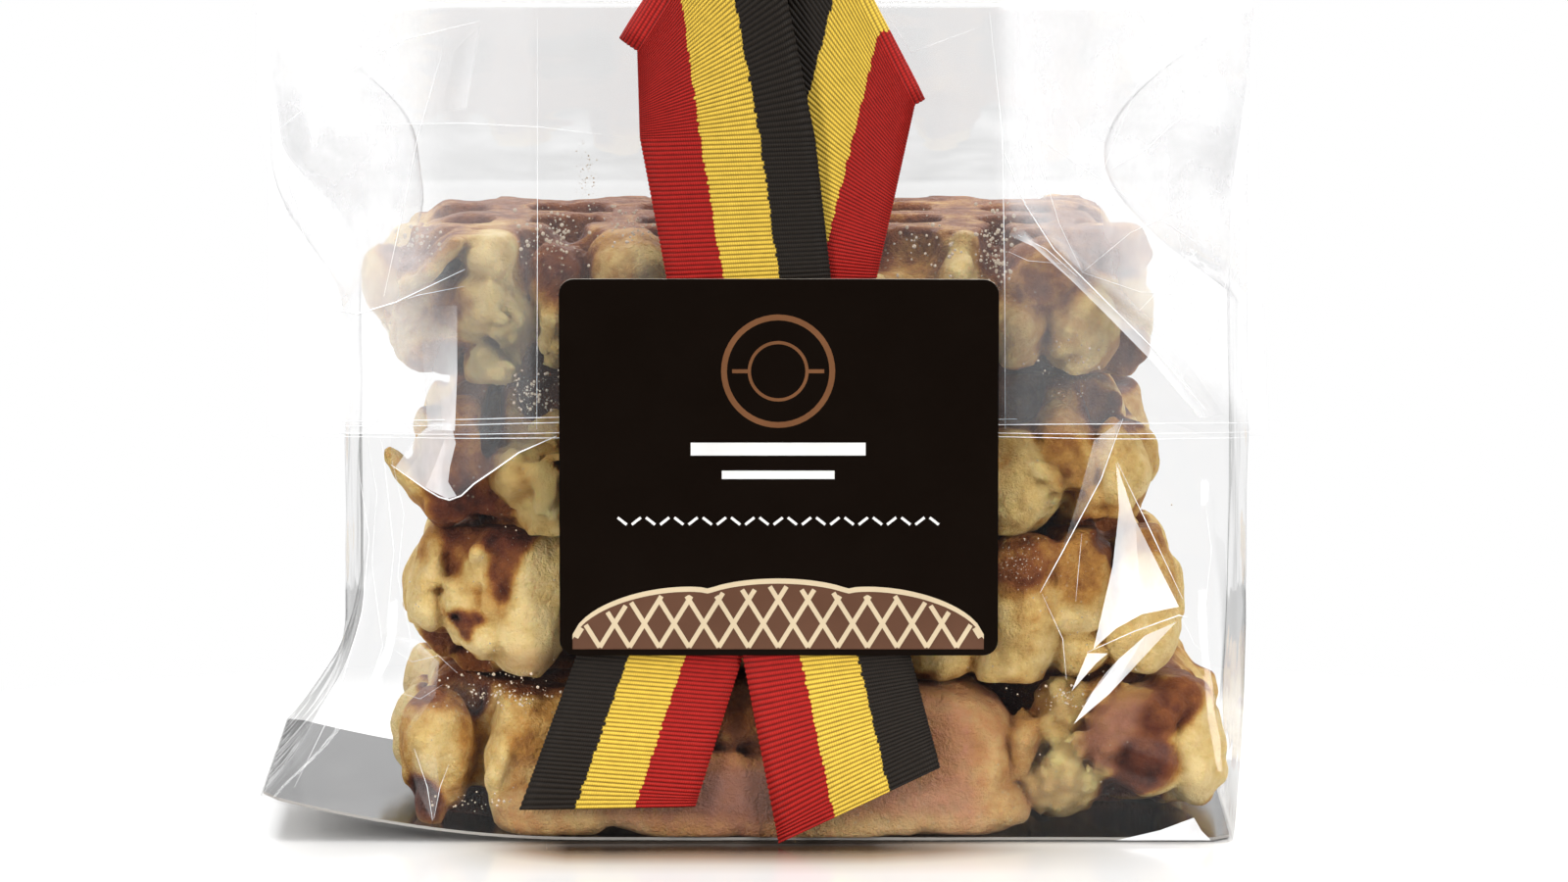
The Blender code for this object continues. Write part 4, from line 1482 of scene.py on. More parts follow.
@dataclass
class FilmFlap:
    """The top of the bag turned down over its front, as two sheets of film.

    Args:
        columns: Steps across a sheet.
        rows: Steps down a sheet.
        seed: Seed of its waves.
    """

    columns: int = 150
    rows: int = 76
    seed: int = 17

    def profile(self, share: float, outer: bool) -> tuple[float, float]:
        """A sheet's depth and height along its way over the fold and down.

        Args:
            share: Place along the sheet, from 0 at the body's top to 1 at its lower edge.
            outer: Whether it is the outer sheet.

        Returns:
            The Y and Z position.
        """
        start_y = SHAPE.front + (SHAPE.fold_thickness if outer else 0.0)
        end_y = -42.02 if outer else -41.55
        top = SHAPE.fold_height + 0.12
        turn = 0.06
        if share < turn:
            angle = math.pi * share / turn
            middle, radius = (start_y + end_y) / 2, (start_y - end_y) / 2
            return middle + radius * math.cos(angle), top + radius * 0.8 * math.sin(angle)
        drop = (share - turn) / (1 - turn)
        return end_y, mix(top, 0.0, drop * (top - SHAPE.flap_bottom) / top)

    @staticmethod
    def haze_and_sheen_at(x: float, z: float) -> float:
        """How milky one sheet is at a place, most beside the ribbon's hold, where it is partly real haze and
        partly a painted white sheen.
        """
        left = 0.03 * ease((-38 - x) / 1.5) + 0.23 * ease((-50 - x) / 11)
        over_sash = (z - 97.0 + 0.88 * (x - 34.0)) / 1.33
        right = 0.03 * ease((x - 33) / 1.5) + 0.20 * ease(over_sash / 5) * ease((x - 32) / 4)
        return 0.018 + left + right

    def lower_edge(self, x: float, outer: bool) -> float:
        """How far above the usual height the sheet ends."""
        step = 2.2 * ease((x - 70.0) / 3.0)
        return step if outer else 1.3 - 1.8 * ease((x - 60.0) / 6.0)

    def sheet(self, outer: bool) -> MeshSketch:
        """One sheet of the flap, wavy where nothing holds it."""
        shape = (self.rows + 1, self.columns + 1)
        slow = lattice_noise(shape, 16, self.seed + outer)
        quick = lattice_noise(shape, 6, self.seed + 2 + outer)
        points, haze_and_sheen = [], []
        for row in range(self.rows + 1):
            share = row / self.rows
            y, z = self.profile(share, outer)
            left, right = SHAPE.flap_edges(min(z, SHAPE.fold_height))
            for column in range(self.columns + 1):
                across = column / self.columns
                x = mix(left, right, across)
                free = ease((abs(x) - 36) / 16) * ease(share / 0.15)
                wave = (0.5 * slow[row, column] + 0.25 * quick[row, column]) * free
                flare = 1.3 * free * ease((share - 0.75) / 0.25)
                if not outer:
                    wave, flare = 0.4 * wave, 0.7 * flare
                lift = self.lower_edge(x, outer) * ease((share - 0.8) / 0.2)
                points.append((x, y - abs(wave) - flare, z + lift))
                haze_and_sheen.append(self.haze_and_sheen_at(x, z + lift))
        faces = strip_faces(self.rows + 1, self.columns + 1)
        faces = [tuple(reversed(face)) for face in faces]
        return MeshSketch(np.array(points), faces, values={"haze_and_sheen": np.array(haze_and_sheen)})

    def build(self, film: bpy.types.Material) -> list[bpy.types.Object]:
        """Makes both sheets."""
        made = []
        for outer, name in ((True, "flap_outer"), (False, "flap_inner")):
            piece = self.sheet(outer).build(name, [film])
            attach(piece, ROOT)
            made.append(piece)
        return made


@dataclass(frozen=True)
class Pleat:
    """A small facet of film that stands off the rest, tilted to catch the lamps, with a painted white highlight
    in its haze.

    Args:
        corners: Its outline as (x, z), in millimetres.
        depth: The Y position of its middle.
        slope_x: Change of depth towards +X.
        slope_z: Change of depth towards +Z.
        haze_and_sheen: How milky it is; mostly a painted white highlight.
        rim: How milky, as painted highlight, it is at each corner, when it fades.
    """

    corners: tuple[tuple[float, float], ...]
    depth: float
    slope_x: float
    slope_z: float
    haze_and_sheen: float
    rim: tuple[float, ...] = ()


@dataclass
class FilmPleats:
    """The pleats and doubled patches of the front film, most with painted white highlights."""

    def body_pleats(self) -> list[Pleat]:
        """Pleats of the front panel below the flap."""
        wide_fan = (
            (51.3, 60.0),
            (51.8, 52.7),
            (50.8, 43.9),
            (47.8, 31.4),
            (51.3, 34.3),
            (55.4, 36.3),
            (61.2, 37.2),
            (57.8, 43.9),
            (54.3, 51.0),
            (52.8, 55.6),
        )
        fan_rim = (0.22, 0.26, 0.40, 0.52, 0.55, 0.6, 0.6, 0.4, 0.3, 0.26)
        chip = ((47.0, 30.1), (50.2, 29.9), (48.4, 28.5), (44.5, 24.4))
        blade = (
            (60.9, 34.9),
            (56.0, 32.7),
            (51.9, 29.3),
            (47.6, 24.2),
            (44.8, 19.7),
            (50.4, 24.0),
            (55.6, 29.2),
        )
        band = (
            (52.2, 66.4),
            (47.9, 63.2),
            (45.5, 54.2),
            (43.2, 46.8),
            (39.7, 39.5),
            (42.9, 45.4),
            (46.7, 52.7),
            (49.0, 57.1),
        )
        bag_fold = (
            (-60.8, 59.4),
            (-55.4, 55.6),
            (-51.8, 53.9),
            (-49.9, 54.6),
            (-48.0, 56.4),
            (-44.5, 58.8),
            (-41.0, 61.3),
            (-35.1, 63.9),
            (-35.1, 66.0),
            (-60.8, 66.0),
        )
        patch = (
            (-60.2, 58.9),
            (-55.4, 55.8),
            (-52.0, 54.3),
            (-50.6, 54.8),
            (-51.9, 56.9),
            (-51.6, 59.3),
            (-50.7, 62.9),
            (-51.4, 66.0),
            (-54.2, 66.0),
            (-56.6, 64.0),
            (-58.4, 61.4),
        )
        foot = ((51.7, 0.7), (58.4, 2.2), (63.7, 4.1), (64.8, 2.2), (66.3, 0.7))
        shoulder = ((-62.5, 33.0), (-57.0, 32.0), (-53.4, 28.6), (-54.0, 23.6), (-57.0, 19.4), (-62.0, 21.0))
        shin = ((-54.6, 3.6), (-53.4, 8.4), (-54.0, 13.6), (-58.0, 15.6), (-57.4, 9.6))
        return [
            Pleat(wide_fan, -43.2, 0.40, 0.10, 0.5, fan_rim),
            Pleat(chip, -42.6, 0.42, 0.14, 0.55),
            Pleat(blade, -43.0, 0.40, 0.12, 0.5, (0.3, 0.4, 0.55, 0.55, 0.6, 0.5, 0.35)),
            Pleat(band, -42.4, 0.14, 0.03, 0.14, (0.24, 0.2, 0.1, 0.04, 0.0, 0.0, 0.06, 0.1)),
            Pleat(bag_fold, -41.50, 0.0, 0.0, 0.07),
            Pleat(patch, -42.0, -0.36, 0.08, 0.50),
            Pleat(shoulder, -41.9, -0.2, 0.1, 0.2, (0.0, 0.22, 0.12, 0.06, 0.04, 0.0)),
            Pleat(shin, -41.9, -0.1, 0.05, 0.1, (0.10, 0.10, 0.03, 0.0, 0.02)),
            Pleat(foot, -41.9, 0.0, 0.3, 0.62),
        ]

    def flap_pleats(self) -> list[Pleat]:
        """Pleats of the flap."""
        left_strip = (
            (-56.2, 84.0),
            (-50.4, 84.4),
            (-50.4, 74.0),
            (-50.8, 65.0),
            (-55.0, 65.0),
            (-55.6, 73.0),
        )
        left_band = (
            (-46.6, 127.7),
            (-47.9, 120.6),
            (-48.8, 114.8),
            (-52.8, 114.3),
            (-50.6, 123.7),
        )
        sash = (
            (34.6, 95.4),
            (38.4, 93.6),
            (44.2, 88.4),
            (50.0, 82.6),
            (57.0, 75.4),
            (64.2, 66.8),
            (68.0, 67.2),
            (60.8, 77.6),
            (54.0, 84.6),
            (47.6, 90.2),
            (41.8, 95.6),
            (36.0, 97.2),
        )
        sash_rim = (0.1, 0.5, 0.56, 0.5, 0.42, 0.3, 0.0, 0.06, 0.1, 0.14, 0.1, 0.0)
        upper_sash = (
            (34.2, 107.0),
            (37.0, 100.4),
            (41.6, 93.6),
            (46.2, 89.4),
            (44.0, 94.6),
            (40.0, 101.0),
        )
        return [
            Pleat(left_strip, -42.9, -0.30, 0.04, 0.5, (0.0, 0.1, 0.44, 0.55, 0.36, 0.1)),
            Pleat(left_band, -42.9, -0.30, 0.04, 0.2, (0.1, 0.16, 0.2, 0.0, 0.0)),
            Pleat(sash, -43.1, 0.20, 0.12, 0.4, sash_rim),
            Pleat(upper_sash, -42.9, 0.20, 0.12, 0.2, (0.0, 0.14, 0.2, 0.2, 0.0, 0.0)),
        ]

    def build(self, film: bpy.types.Material) -> bpy.types.Object:
        """Makes all the pleats as one piece."""
        points, faces, haze_and_sheen = [], [], []
        for pleat in self.body_pleats() + self.flap_pleats():
            centre_x = sum(x for x, _ in pleat.corners) / len(pleat.corners)
            centre_z = sum(z for _, z in pleat.corners) / len(pleat.corners)
            start = len(points)
            # The haze values paint white highlights on the pleats, besides a little real haze where the film is
            # doubled.
            haze_and_sheen.extend(pleat.rim or [pleat.haze_and_sheen] * len(pleat.corners))
            for x, z in pleat.corners:
                shift = pleat.slope_x * (x - centre_x) + pleat.slope_z * (z - centre_z)
                points.append((x, min(pleat.depth + shift, SHAPE.front - 0.35), z))
            area = sum(
                a[0] * b[1] - b[0] * a[1]
                for a, b in zip(pleat.corners, pleat.corners[1:] + pleat.corners[:1])
            )
            face = tuple(range(start, start + len(pleat.corners)))
            faces.append(face if area > 0 else tuple(reversed(face)))
        values = {"haze_and_sheen": np.array(haze_and_sheen)}
        piece = MeshSketch(np.array(points), faces, values=values)
        made = piece.build("film_pleats", [film], smooth=False)
        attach(made, ROOT)
        return made


@dataclass
class Strands:
    """Thin tubes along paths, made by Geometry Nodes.

    Args:
        name: Name of the piece.
        sides: Sides of a tube.
    """

    name: str
    sides: int = 5
    paths: list[list[tuple[float, float, float]]] = field(default_factory=list)
    girths: list[float] = field(default_factory=list)

    def add(self, path: list[tuple[float, float, float]], radius: float) -> None:
        """Adds one path, in millimetres, with the radius of its tube."""
        self.paths.append(path)
        self.girths.append(radius)

    def tree(self, finish: bpy.types.Material) -> bpy.types.NodeTree:
        """The node tree that sweeps a circle along every path."""
        tree = bpy.data.node_groups.new(self.name + "_sweep", "GeometryNodeTree")
        face = tree.interface
        face.new_socket("Geometry", in_out="INPUT", socket_type="NodeSocketGeometry")
        face.new_socket("Sides", in_out="INPUT", socket_type="NodeSocketInt")
        face.new_socket("Geometry", in_out="OUTPUT", socket_type="NodeSocketGeometry")
        sheet = NodeSheet(tree)
        entry = sheet.add("NodeGroupInput")
        girth = sheet.add("GeometryNodeInputNamedAttribute", {"Name": "girth"}, data_type="FLOAT")
        curve = sheet.add("GeometryNodeMeshToCurve", {"Mesh": entry.outputs["Geometry"]})
        fine = sheet.add(
            "GeometryNodeSetCurveRadius",
            {"Curve": curve.outputs[0], "Radius": girth.outputs["Attribute"]},
        )
        ring = sheet.add(
            "GeometryNodeCurvePrimitiveCircle",
            {"Resolution": entry.outputs["Sides"], "Radius": 1.0},
        )
        swept = {"Curve": fine.outputs[0], "Profile Curve": ring.outputs[0], "Fill Caps": True}
        tube = sheet.add("GeometryNodeCurveToMesh", swept)
        if "Scale" in tube.inputs:
            tree.links.new(girth.outputs["Attribute"], tube.inputs["Scale"])
        real = sheet.add("GeometryNodeRealizeInstances", {"Geometry": tube.outputs[0]})
        shade = sheet.add(
            "GeometryNodeSetMaterial", {"Geometry": real.outputs[0], "Material": finish}
        )
        sheet.add("NodeGroupOutput", {"Geometry": shade.outputs[0]})
        return tree

    def build(self, finish: bpy.types.Material) -> bpy.types.Object:
        """Sweeps the tubes and makes them a plain mesh."""
        points, girth, edges = [], [], []
        for path, radius in zip(self.paths, self.girths):
            for step, point in enumerate(path):
                if step:
                    edges.append((len(points) - 1, len(points)))
                points.append(Vector(point) * MM)
                ends = step in (0, len(path) - 1)
                girth.append(radius * MM * (0.35 if ends else 1.0))
        mesh = bpy.data.meshes.new(self.name + "_paths")
        mesh.from_pydata(points, edges, [])
        attribute = mesh.attributes.new("girth", "FLOAT", "POINT")
        attribute.data.foreach_set("value", np.array(girth, np.float32))
        guide = bpy.data.objects.new(self.name + "_guide", mesh)
        bpy.context.scene.collection.objects.link(guide)
        tree = self.tree(finish)
        sweep = guide.modifiers.new("sweep", "NODES")
        sweep.node_group = tree
        for socket in tree.interface.items_tree:
            if socket.in_out == "INPUT" and socket.name == "Sides":
                sweep[socket.identifier] = self.sides
        piece = realized(guide, self.name)
        for polygon in piece.data.polygons:
            polygon.use_smooth = True
        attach(piece, ROOT)
        return piece


@dataclass
class FilmCreases:
    """Fine bright lines along the film's folds and cut edges, as opaque white tubes that are painted highlights.
    """

    def body_lines(self) -> list[tuple[float, list[tuple[float, float]]]]:
        """Creases of the front panel, as a radius and (x, z) points."""
        return [
            (0.075, [(51.6, 59.7), (56.6, 49.4), (61.8, 38.4)]),
            (0.085, [(47.0, 30.1), (54.3, 33.4), (61.2, 35.9), (62.5, 35.6)]),
            (0.095, [(52.4, 66.6), (49.0, 57.1), (46.7, 52.7), (42.9, 45.4), (39.7, 39.5)]),
            (0.05, [(40.0, 39.2), (43.2, 32.2), (43.8, 25.8)]),
            (0.04, [(46.1, 48.6), (45.6, 43.0), (45.2, 38.1)]),
            (0.05, [(52.2, 29.4), (49.8, 26.6), (46.8, 22.4)]),
            (
                0.13,
                [
                    (-60.8, 59.4),
                    (-55.4, 55.6),
                    (-53.4, 54.4),
                    (-51.8, 53.9),
                    (-49.9, 54.6),
                    (-48.0, 56.4),
                    (-44.5, 58.8),
                    (-41.0, 61.3),
                    (-35.1, 63.9),
                ],
            ),
            (0.05, [(-62.6, 66.6), (-61.6, 58.0), (-60.4, 46.0), (-61.6, 34.0)]),
            (0.05, [(-66.0, 60.0), (-64.2, 48.0), (-65.4, 36.0), (-69.6, 22.0), (-76.0, 9.0)]),
            (0.035, [(-60.6, 60.0), (-58.8, 52.0), (-59.8, 42.0), (-57.8, 32.0), (-59.6, 24.0)]),
            (0.035, [(-64.4, 64.0), (-63.0, 55.0), (-63.8, 44.0), (-62.2, 31.0), (-66.4, 19.0)]),
            (0.03, [(-61.2, 31.0), (-57.6, 28.6), (-53.6, 29.6), (-50.6, 26.8)]),
            (0.03, [(-60.4, 24.0), (-56.4, 22.8), (-53.0, 25.0)]),
            (0.03, [(64.6, 58.0), (66.2, 46.0), (64.8, 33.0), (67.4, 20.0)]),
            (0.03, [(61.6, 35.6), (63.6, 31.4), (66.0, 29.0)]),
            (0.06, [(-54.6, 3.8), (-55.4, 9.0), (-57.4, 15.0)]),
            (0.04, [(-54.4, 4.0), (-53.4, 9.0), (-52.0, 12.6)]),
        ]

    def flap_lines(self) -> list[tuple[float, list[tuple[float, float]]]]:
        """Creases of the flap, as a radius and (x, z) points."""
        lines = [
            (0.06, [(-79.2, 110.5), (-63.5, 122.8), (-58.2, 125.5), (-47.0, 128.2)]),
            (0.05, [(-52.4, 124.2), (-54.2, 117.9), (-56.4, 110.3), (-58.7, 99.1), (-61.7, 85.7)]),
            (0.04, [(-63.5, 112.3), (-49.2, 112.5), (-37.7, 111.9), (-24.7, 110.3)]),
            (0.055, [(-37.9, 128.6), (-38.0, 96.0), (-38.2, 65.0)]),
            (0.04, [(-77.8, 109.8), (-74.2, 95.9), (-71.1, 86.1)]),
            (0.11, [(-70.2, 83.9), (-65.8, 83.0), (-59.9, 84.8), (-49.2, 89.9)]),
            (0.05, [(-58.0, 85.4), (-56.4, 85.9), (-49.2, 87.3)]),
            (0.055, [(31.6, 129.6), (33.6, 111.0), (34.0, 90.8), (34.2, 65.0)]),
            (
                0.09,
                [
                    (34.0, 107.8),
                    (37.2, 99.8),
                    (41.6, 93.0),
                    (45.7, 88.9),
                    (50.7, 83.9),
                    (57.4, 77.2),
                    (65.1, 68.2),
                ],
            ),
            (0.06, [(36.0, 95.2), (40.4, 93.0), (45.2, 88.8)]),
            (0.05, [(55.8, 122.3), (49.3, 105.6)]),
            (0.04, [(66.0, 116.4), (59.7, 112.4), (56.1, 108.8), (50.6, 105.6)]),
            (0.05, [(39.9, 109.7), (63.2, 94.3)]),
            (0.05, [(16.0, 129.0), (19.6, 123.4), (29.8, 127.2)]),
            (0.035, [(46.0, 89.4), (55.0, 86.4), (60.4, 86.2)]),
            (0.035, [(54.8, 83.5), (59.6, 88.6), (63.7, 92.8)]),
            (0.035, [(46.0, 89.4), (42.4, 97.0), (39.4, 106.6)]),
            (0.035, [(46.0, 89.4), (53.4, 95.6), (66.0, 101.4)]),
            (0.03, [(44.4, 90.6), (37.6, 91.2), (34.6, 92.6)]),
            (0.03, [(61.0, 72.6), (66.6, 80.4), (69.4, 94.0)]),
        ]
        return lines

    def edge_lines(self) -> list[tuple[float, list[tuple[float, float, float]]]]:
        """Cut edges of the flap's layers, as a radius and points."""
        rows = ((63.9, -80.0, 71.2), (64.6, -79.6, 73.4), (65.9, -79.7, 73.9), (66.6, -79.4, 36.0))
        lines = []
        for height, first, last in rows:
            path = []
            for step in range(25):
                x = mix(first, last, step / 24)
                free = ease((abs(x) - 36) / 16)
                sag = 0.25 * math.sin(0.07 * x + height)
                path.append((x, -42.12 - 1.25 * free, height + sag))
            lines.append((0.055, path))
        return lines

    def build(self, finish: bpy.types.Material) -> bpy.types.Object:
        """Sweeps every line into one piece."""
        strands = Strands("film_creases", sides=5)
        for radius, line in self.body_lines():
            strands.add([(x, -41.6, z) for x, z in line], radius)
        for radius, line in self.flap_lines():
            path = []
            for x, z in line:
                free = ease((abs(x) - 36) / 16)
                path.append((x, -42.15 - 0.5 * free, z))
            strands.add(path, radius)
        for radius, path in self.edge_lines():
            strands.add(path, radius)
        piece = strands.build(finish)
        return piece


@dataclass(frozen=True)
class DropletPatch:
    """A patch of tiny drops on the inside of the film, in millimetres.

    Args:
        x: Lowest and highest X.
        z: Lowest and highest Z.
        count: Number of drops.
        size: Smallest and largest radius.
        depth: The Y position.
    """

    x: tuple[float, float]
    z: tuple[float, float]
    count: int
    size: tuple[float, float]
    depth: float = -40.85


@dataclass
class Droplets:
    """Drops of melted sugar and steam on the film, spread by Geometry Nodes."""

    seed: int = 29

    def patches(self) -> list[DropletPatch]:
        """Where the drops gather."""
        return [
            DropletPatch((-60.0, -53.0), (91.0, 97.0), 60, (0.08, 0.34)),
            DropletPatch((-41.5, -30.0), (90.0, 99.5), 120, (0.08, 0.34)),
            DropletPatch((-32.0, -28.6), (99.0, 110.0), 70, (0.05, 0.16)),
            DropletPatch((-30.0, -18.0), (93.0, 99.5), 90, (0.06, 0.28)),
            DropletPatch((-43.0, -34.8), (65.6, 74.0), 110, (0.08, 0.28)),
            DropletPatch((29.6, 35.6), (86.0, 100.0), 150, (0.06, 0.34)),
            DropletPatch((16.0, 28.0), (88.0, 99.0), 40, (0.10, 0.36)),
            DropletPatch((37.0, 52.0), (70.0, 80.0), 60, (0.08, 0.22)),
            DropletPatch((33.4, 40.0), (39.8, 47.8), 90, (0.05, 0.14)),
            DropletPatch((-55.0, -34.0), (20.5, 26.6), 120, (0.06, 0.28)),
            DropletPatch((-54.7, -39.5), (4.6, 7.8), 26, (0.10, 0.30)),
            DropletPatch((39.5, 47.5), (21.0, 25.0), 50, (0.06, 0.24)),
            DropletPatch((-58.0, -30.0), (6.0, 60.0), 90, (0.04, 0.14)),
            DropletPatch((28.0, 60.0), (8.0, 60.0), 90, (0.04, 0.14)),
        ]

    def tree(self, finish: bpy.types.Material) -> bpy.types.NodeTree:
        """The node tree that puts a small faceted ball on every point."""
        tree = bpy.data.node_groups.new("drop_scatter", "GeometryNodeTree")
        face = tree.interface
        face.new_socket("Geometry", in_out="INPUT", socket_type="NodeSocketGeometry")
        face.new_socket("Flatness", in_out="INPUT", socket_type="NodeSocketFloat")
        face.new_socket("Geometry", in_out="OUTPUT", socket_type="NodeSocketGeometry")
        sheet = NodeSheet(tree)
        entry = sheet.add("NodeGroupInput")
        reach = sheet.add("GeometryNodeInputNamedAttribute", {"Name": "reach"}, data_type="FLOAT")
        size = reach.outputs["Attribute"]
        thin = sheet.math("MULTIPLY", size, entry.outputs["Flatness"])
        scale = sheet.add("ShaderNodeCombineXYZ", {"X": size, "Y": thin, "Z": size})
        ball = sheet.add("GeometryNodeMeshIcoSphere", {"Radius": 1.0, "Subdivisions": 2})
        spread = {
            "Points": entry.outputs["Geometry"],
            "Instance": ball.outputs["Mesh"],
            "Scale": scale.outputs[0],
        }
        placed = sheet.add("GeometryNodeInstanceOnPoints", spread)
        real = sheet.add("GeometryNodeRealizeInstances", {"Geometry": placed.outputs[0]})
        shade = sheet.add(
            "GeometryNodeSetMaterial", {"Geometry": real.outputs[0], "Material": finish}
        )
        sheet.add("NodeGroupOutput", {"Geometry": shade.outputs[0]})
        return tree

    def build(self, finish: bpy.types.Material) -> bpy.types.Object:
        """Spreads the drops and makes them a plain mesh."""
        random = np.random.default_rng(self.seed)
        points, reach = [], []
        for patch in self.patches():
            for _ in range(patch.count):
                place = random.normal(0.5, 0.24, 2).clip(0.0, 1.0)
                x = mix(*patch.x, float(place[0]))
                z = mix(*patch.z, float(place[1]))
                points.append((x * MM, patch.depth * MM, z * MM))
                reach.append(mix(*patch.size, float(random.uniform()) ** 2.2) * MM)
        mesh = bpy.data.meshes.new("drop_points")
        mesh.from_pydata(points, [], [])
        attribute = mesh.attributes.new("reach", "FLOAT", "POINT")
        attribute.data.foreach_set("value", np.array(reach, np.float32))
        guide = bpy.data.objects.new("drop_guide", mesh)
        bpy.context.scene.collection.objects.link(guide)
        tree = self.tree(finish)
        scatter = guide.modifiers.new("scatter", "NODES")
        scatter.node_group = tree
        for socket in tree.interface.items_tree:
            if socket.in_out == "INPUT" and socket.name == "Flatness":
                scatter[socket.identifier] = 0.45
        piece = realized(guide, "film_drops")
        for polygon in piece.data.polygons:
            polygon.use_smooth = True
        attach(piece, ROOT)
        return piece


@dataclass
class BaseCard:
    """The glossy card that the waffles stand on, curled up at its left.

    Args:
        left: Its left edge, in millimetres.
        right: Its right edge.
        half_depth: Half its depth.
        thickness: Its thickness.
        corner: Radius of its corners.
    """

    left: float = -81.1
    right: float = 69.4
    half_depth: float = 39.6
    thickness: float = 0.45
    corner: float = 2.5
    columns: int = 60
    rows: int = 30

    def surface(self, rise: float) -> list[tuple[float, float, float]]:
        """A grid of points on the card's upper or lower face."""
        points = []
        for row in range(self.rows + 1):
            y = mix(-self.half_depth, self.half_depth, row / self.rows)
            over = max(0.0, abs(y) - (self.half_depth - self.corner))
            pull = self.corner - math.sqrt(max(self.corner**2 - over**2, 0.0))
            for column in range(self.columns + 1):
                x = mix(self.left + pull, self.right - pull, column / self.columns)
                ripple = 0.12 * math.sin(0.09 * x + 0.05 * y)
                points.append((x, y, SHAPE.curl_at(x) + 0.25 + abs(ripple) * 0.4 + rise))
        return points

    def build(self, coat: bpy.types.Material, paper: bpy.types.Material) -> bpy.types.Object:
        """Makes the card with its pale cut edge."""
        low, high = self.surface(0.0), self.surface(self.thickness)
        wide, count = self.columns + 1, len(low)
        upper = strip_faces(self.rows + 1, wide, count)
        lower = [tuple(reversed(face)) for face in strip_faces(self.rows + 1, wide)]
        rim = list(range(wide))
        rim += [row * wide + wide - 1 for row in range(1, self.rows + 1)]
        rim += [self.rows * wide + column for column in range(wide - 2, -1, -1)]
        rim += [row * wide for row in range(self.rows - 1, 0, -1)]
        edge = [(a, b, b + count, a + count) for a, b in zip(rim, rim[1:] + rim[:1])]
        faces = upper + lower + edge
        slots = [0] * len(upper) + [1] * (len(lower) + len(edge))
        piece = MeshSketch(np.array(low + high), faces, slots).build("base_card", [coat, paper])
        piece.data.set_sharp_from_angle(angle=0.6)
        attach(piece, ROOT)
        return piece


# --- Label ---------------------------------------------------------------------------


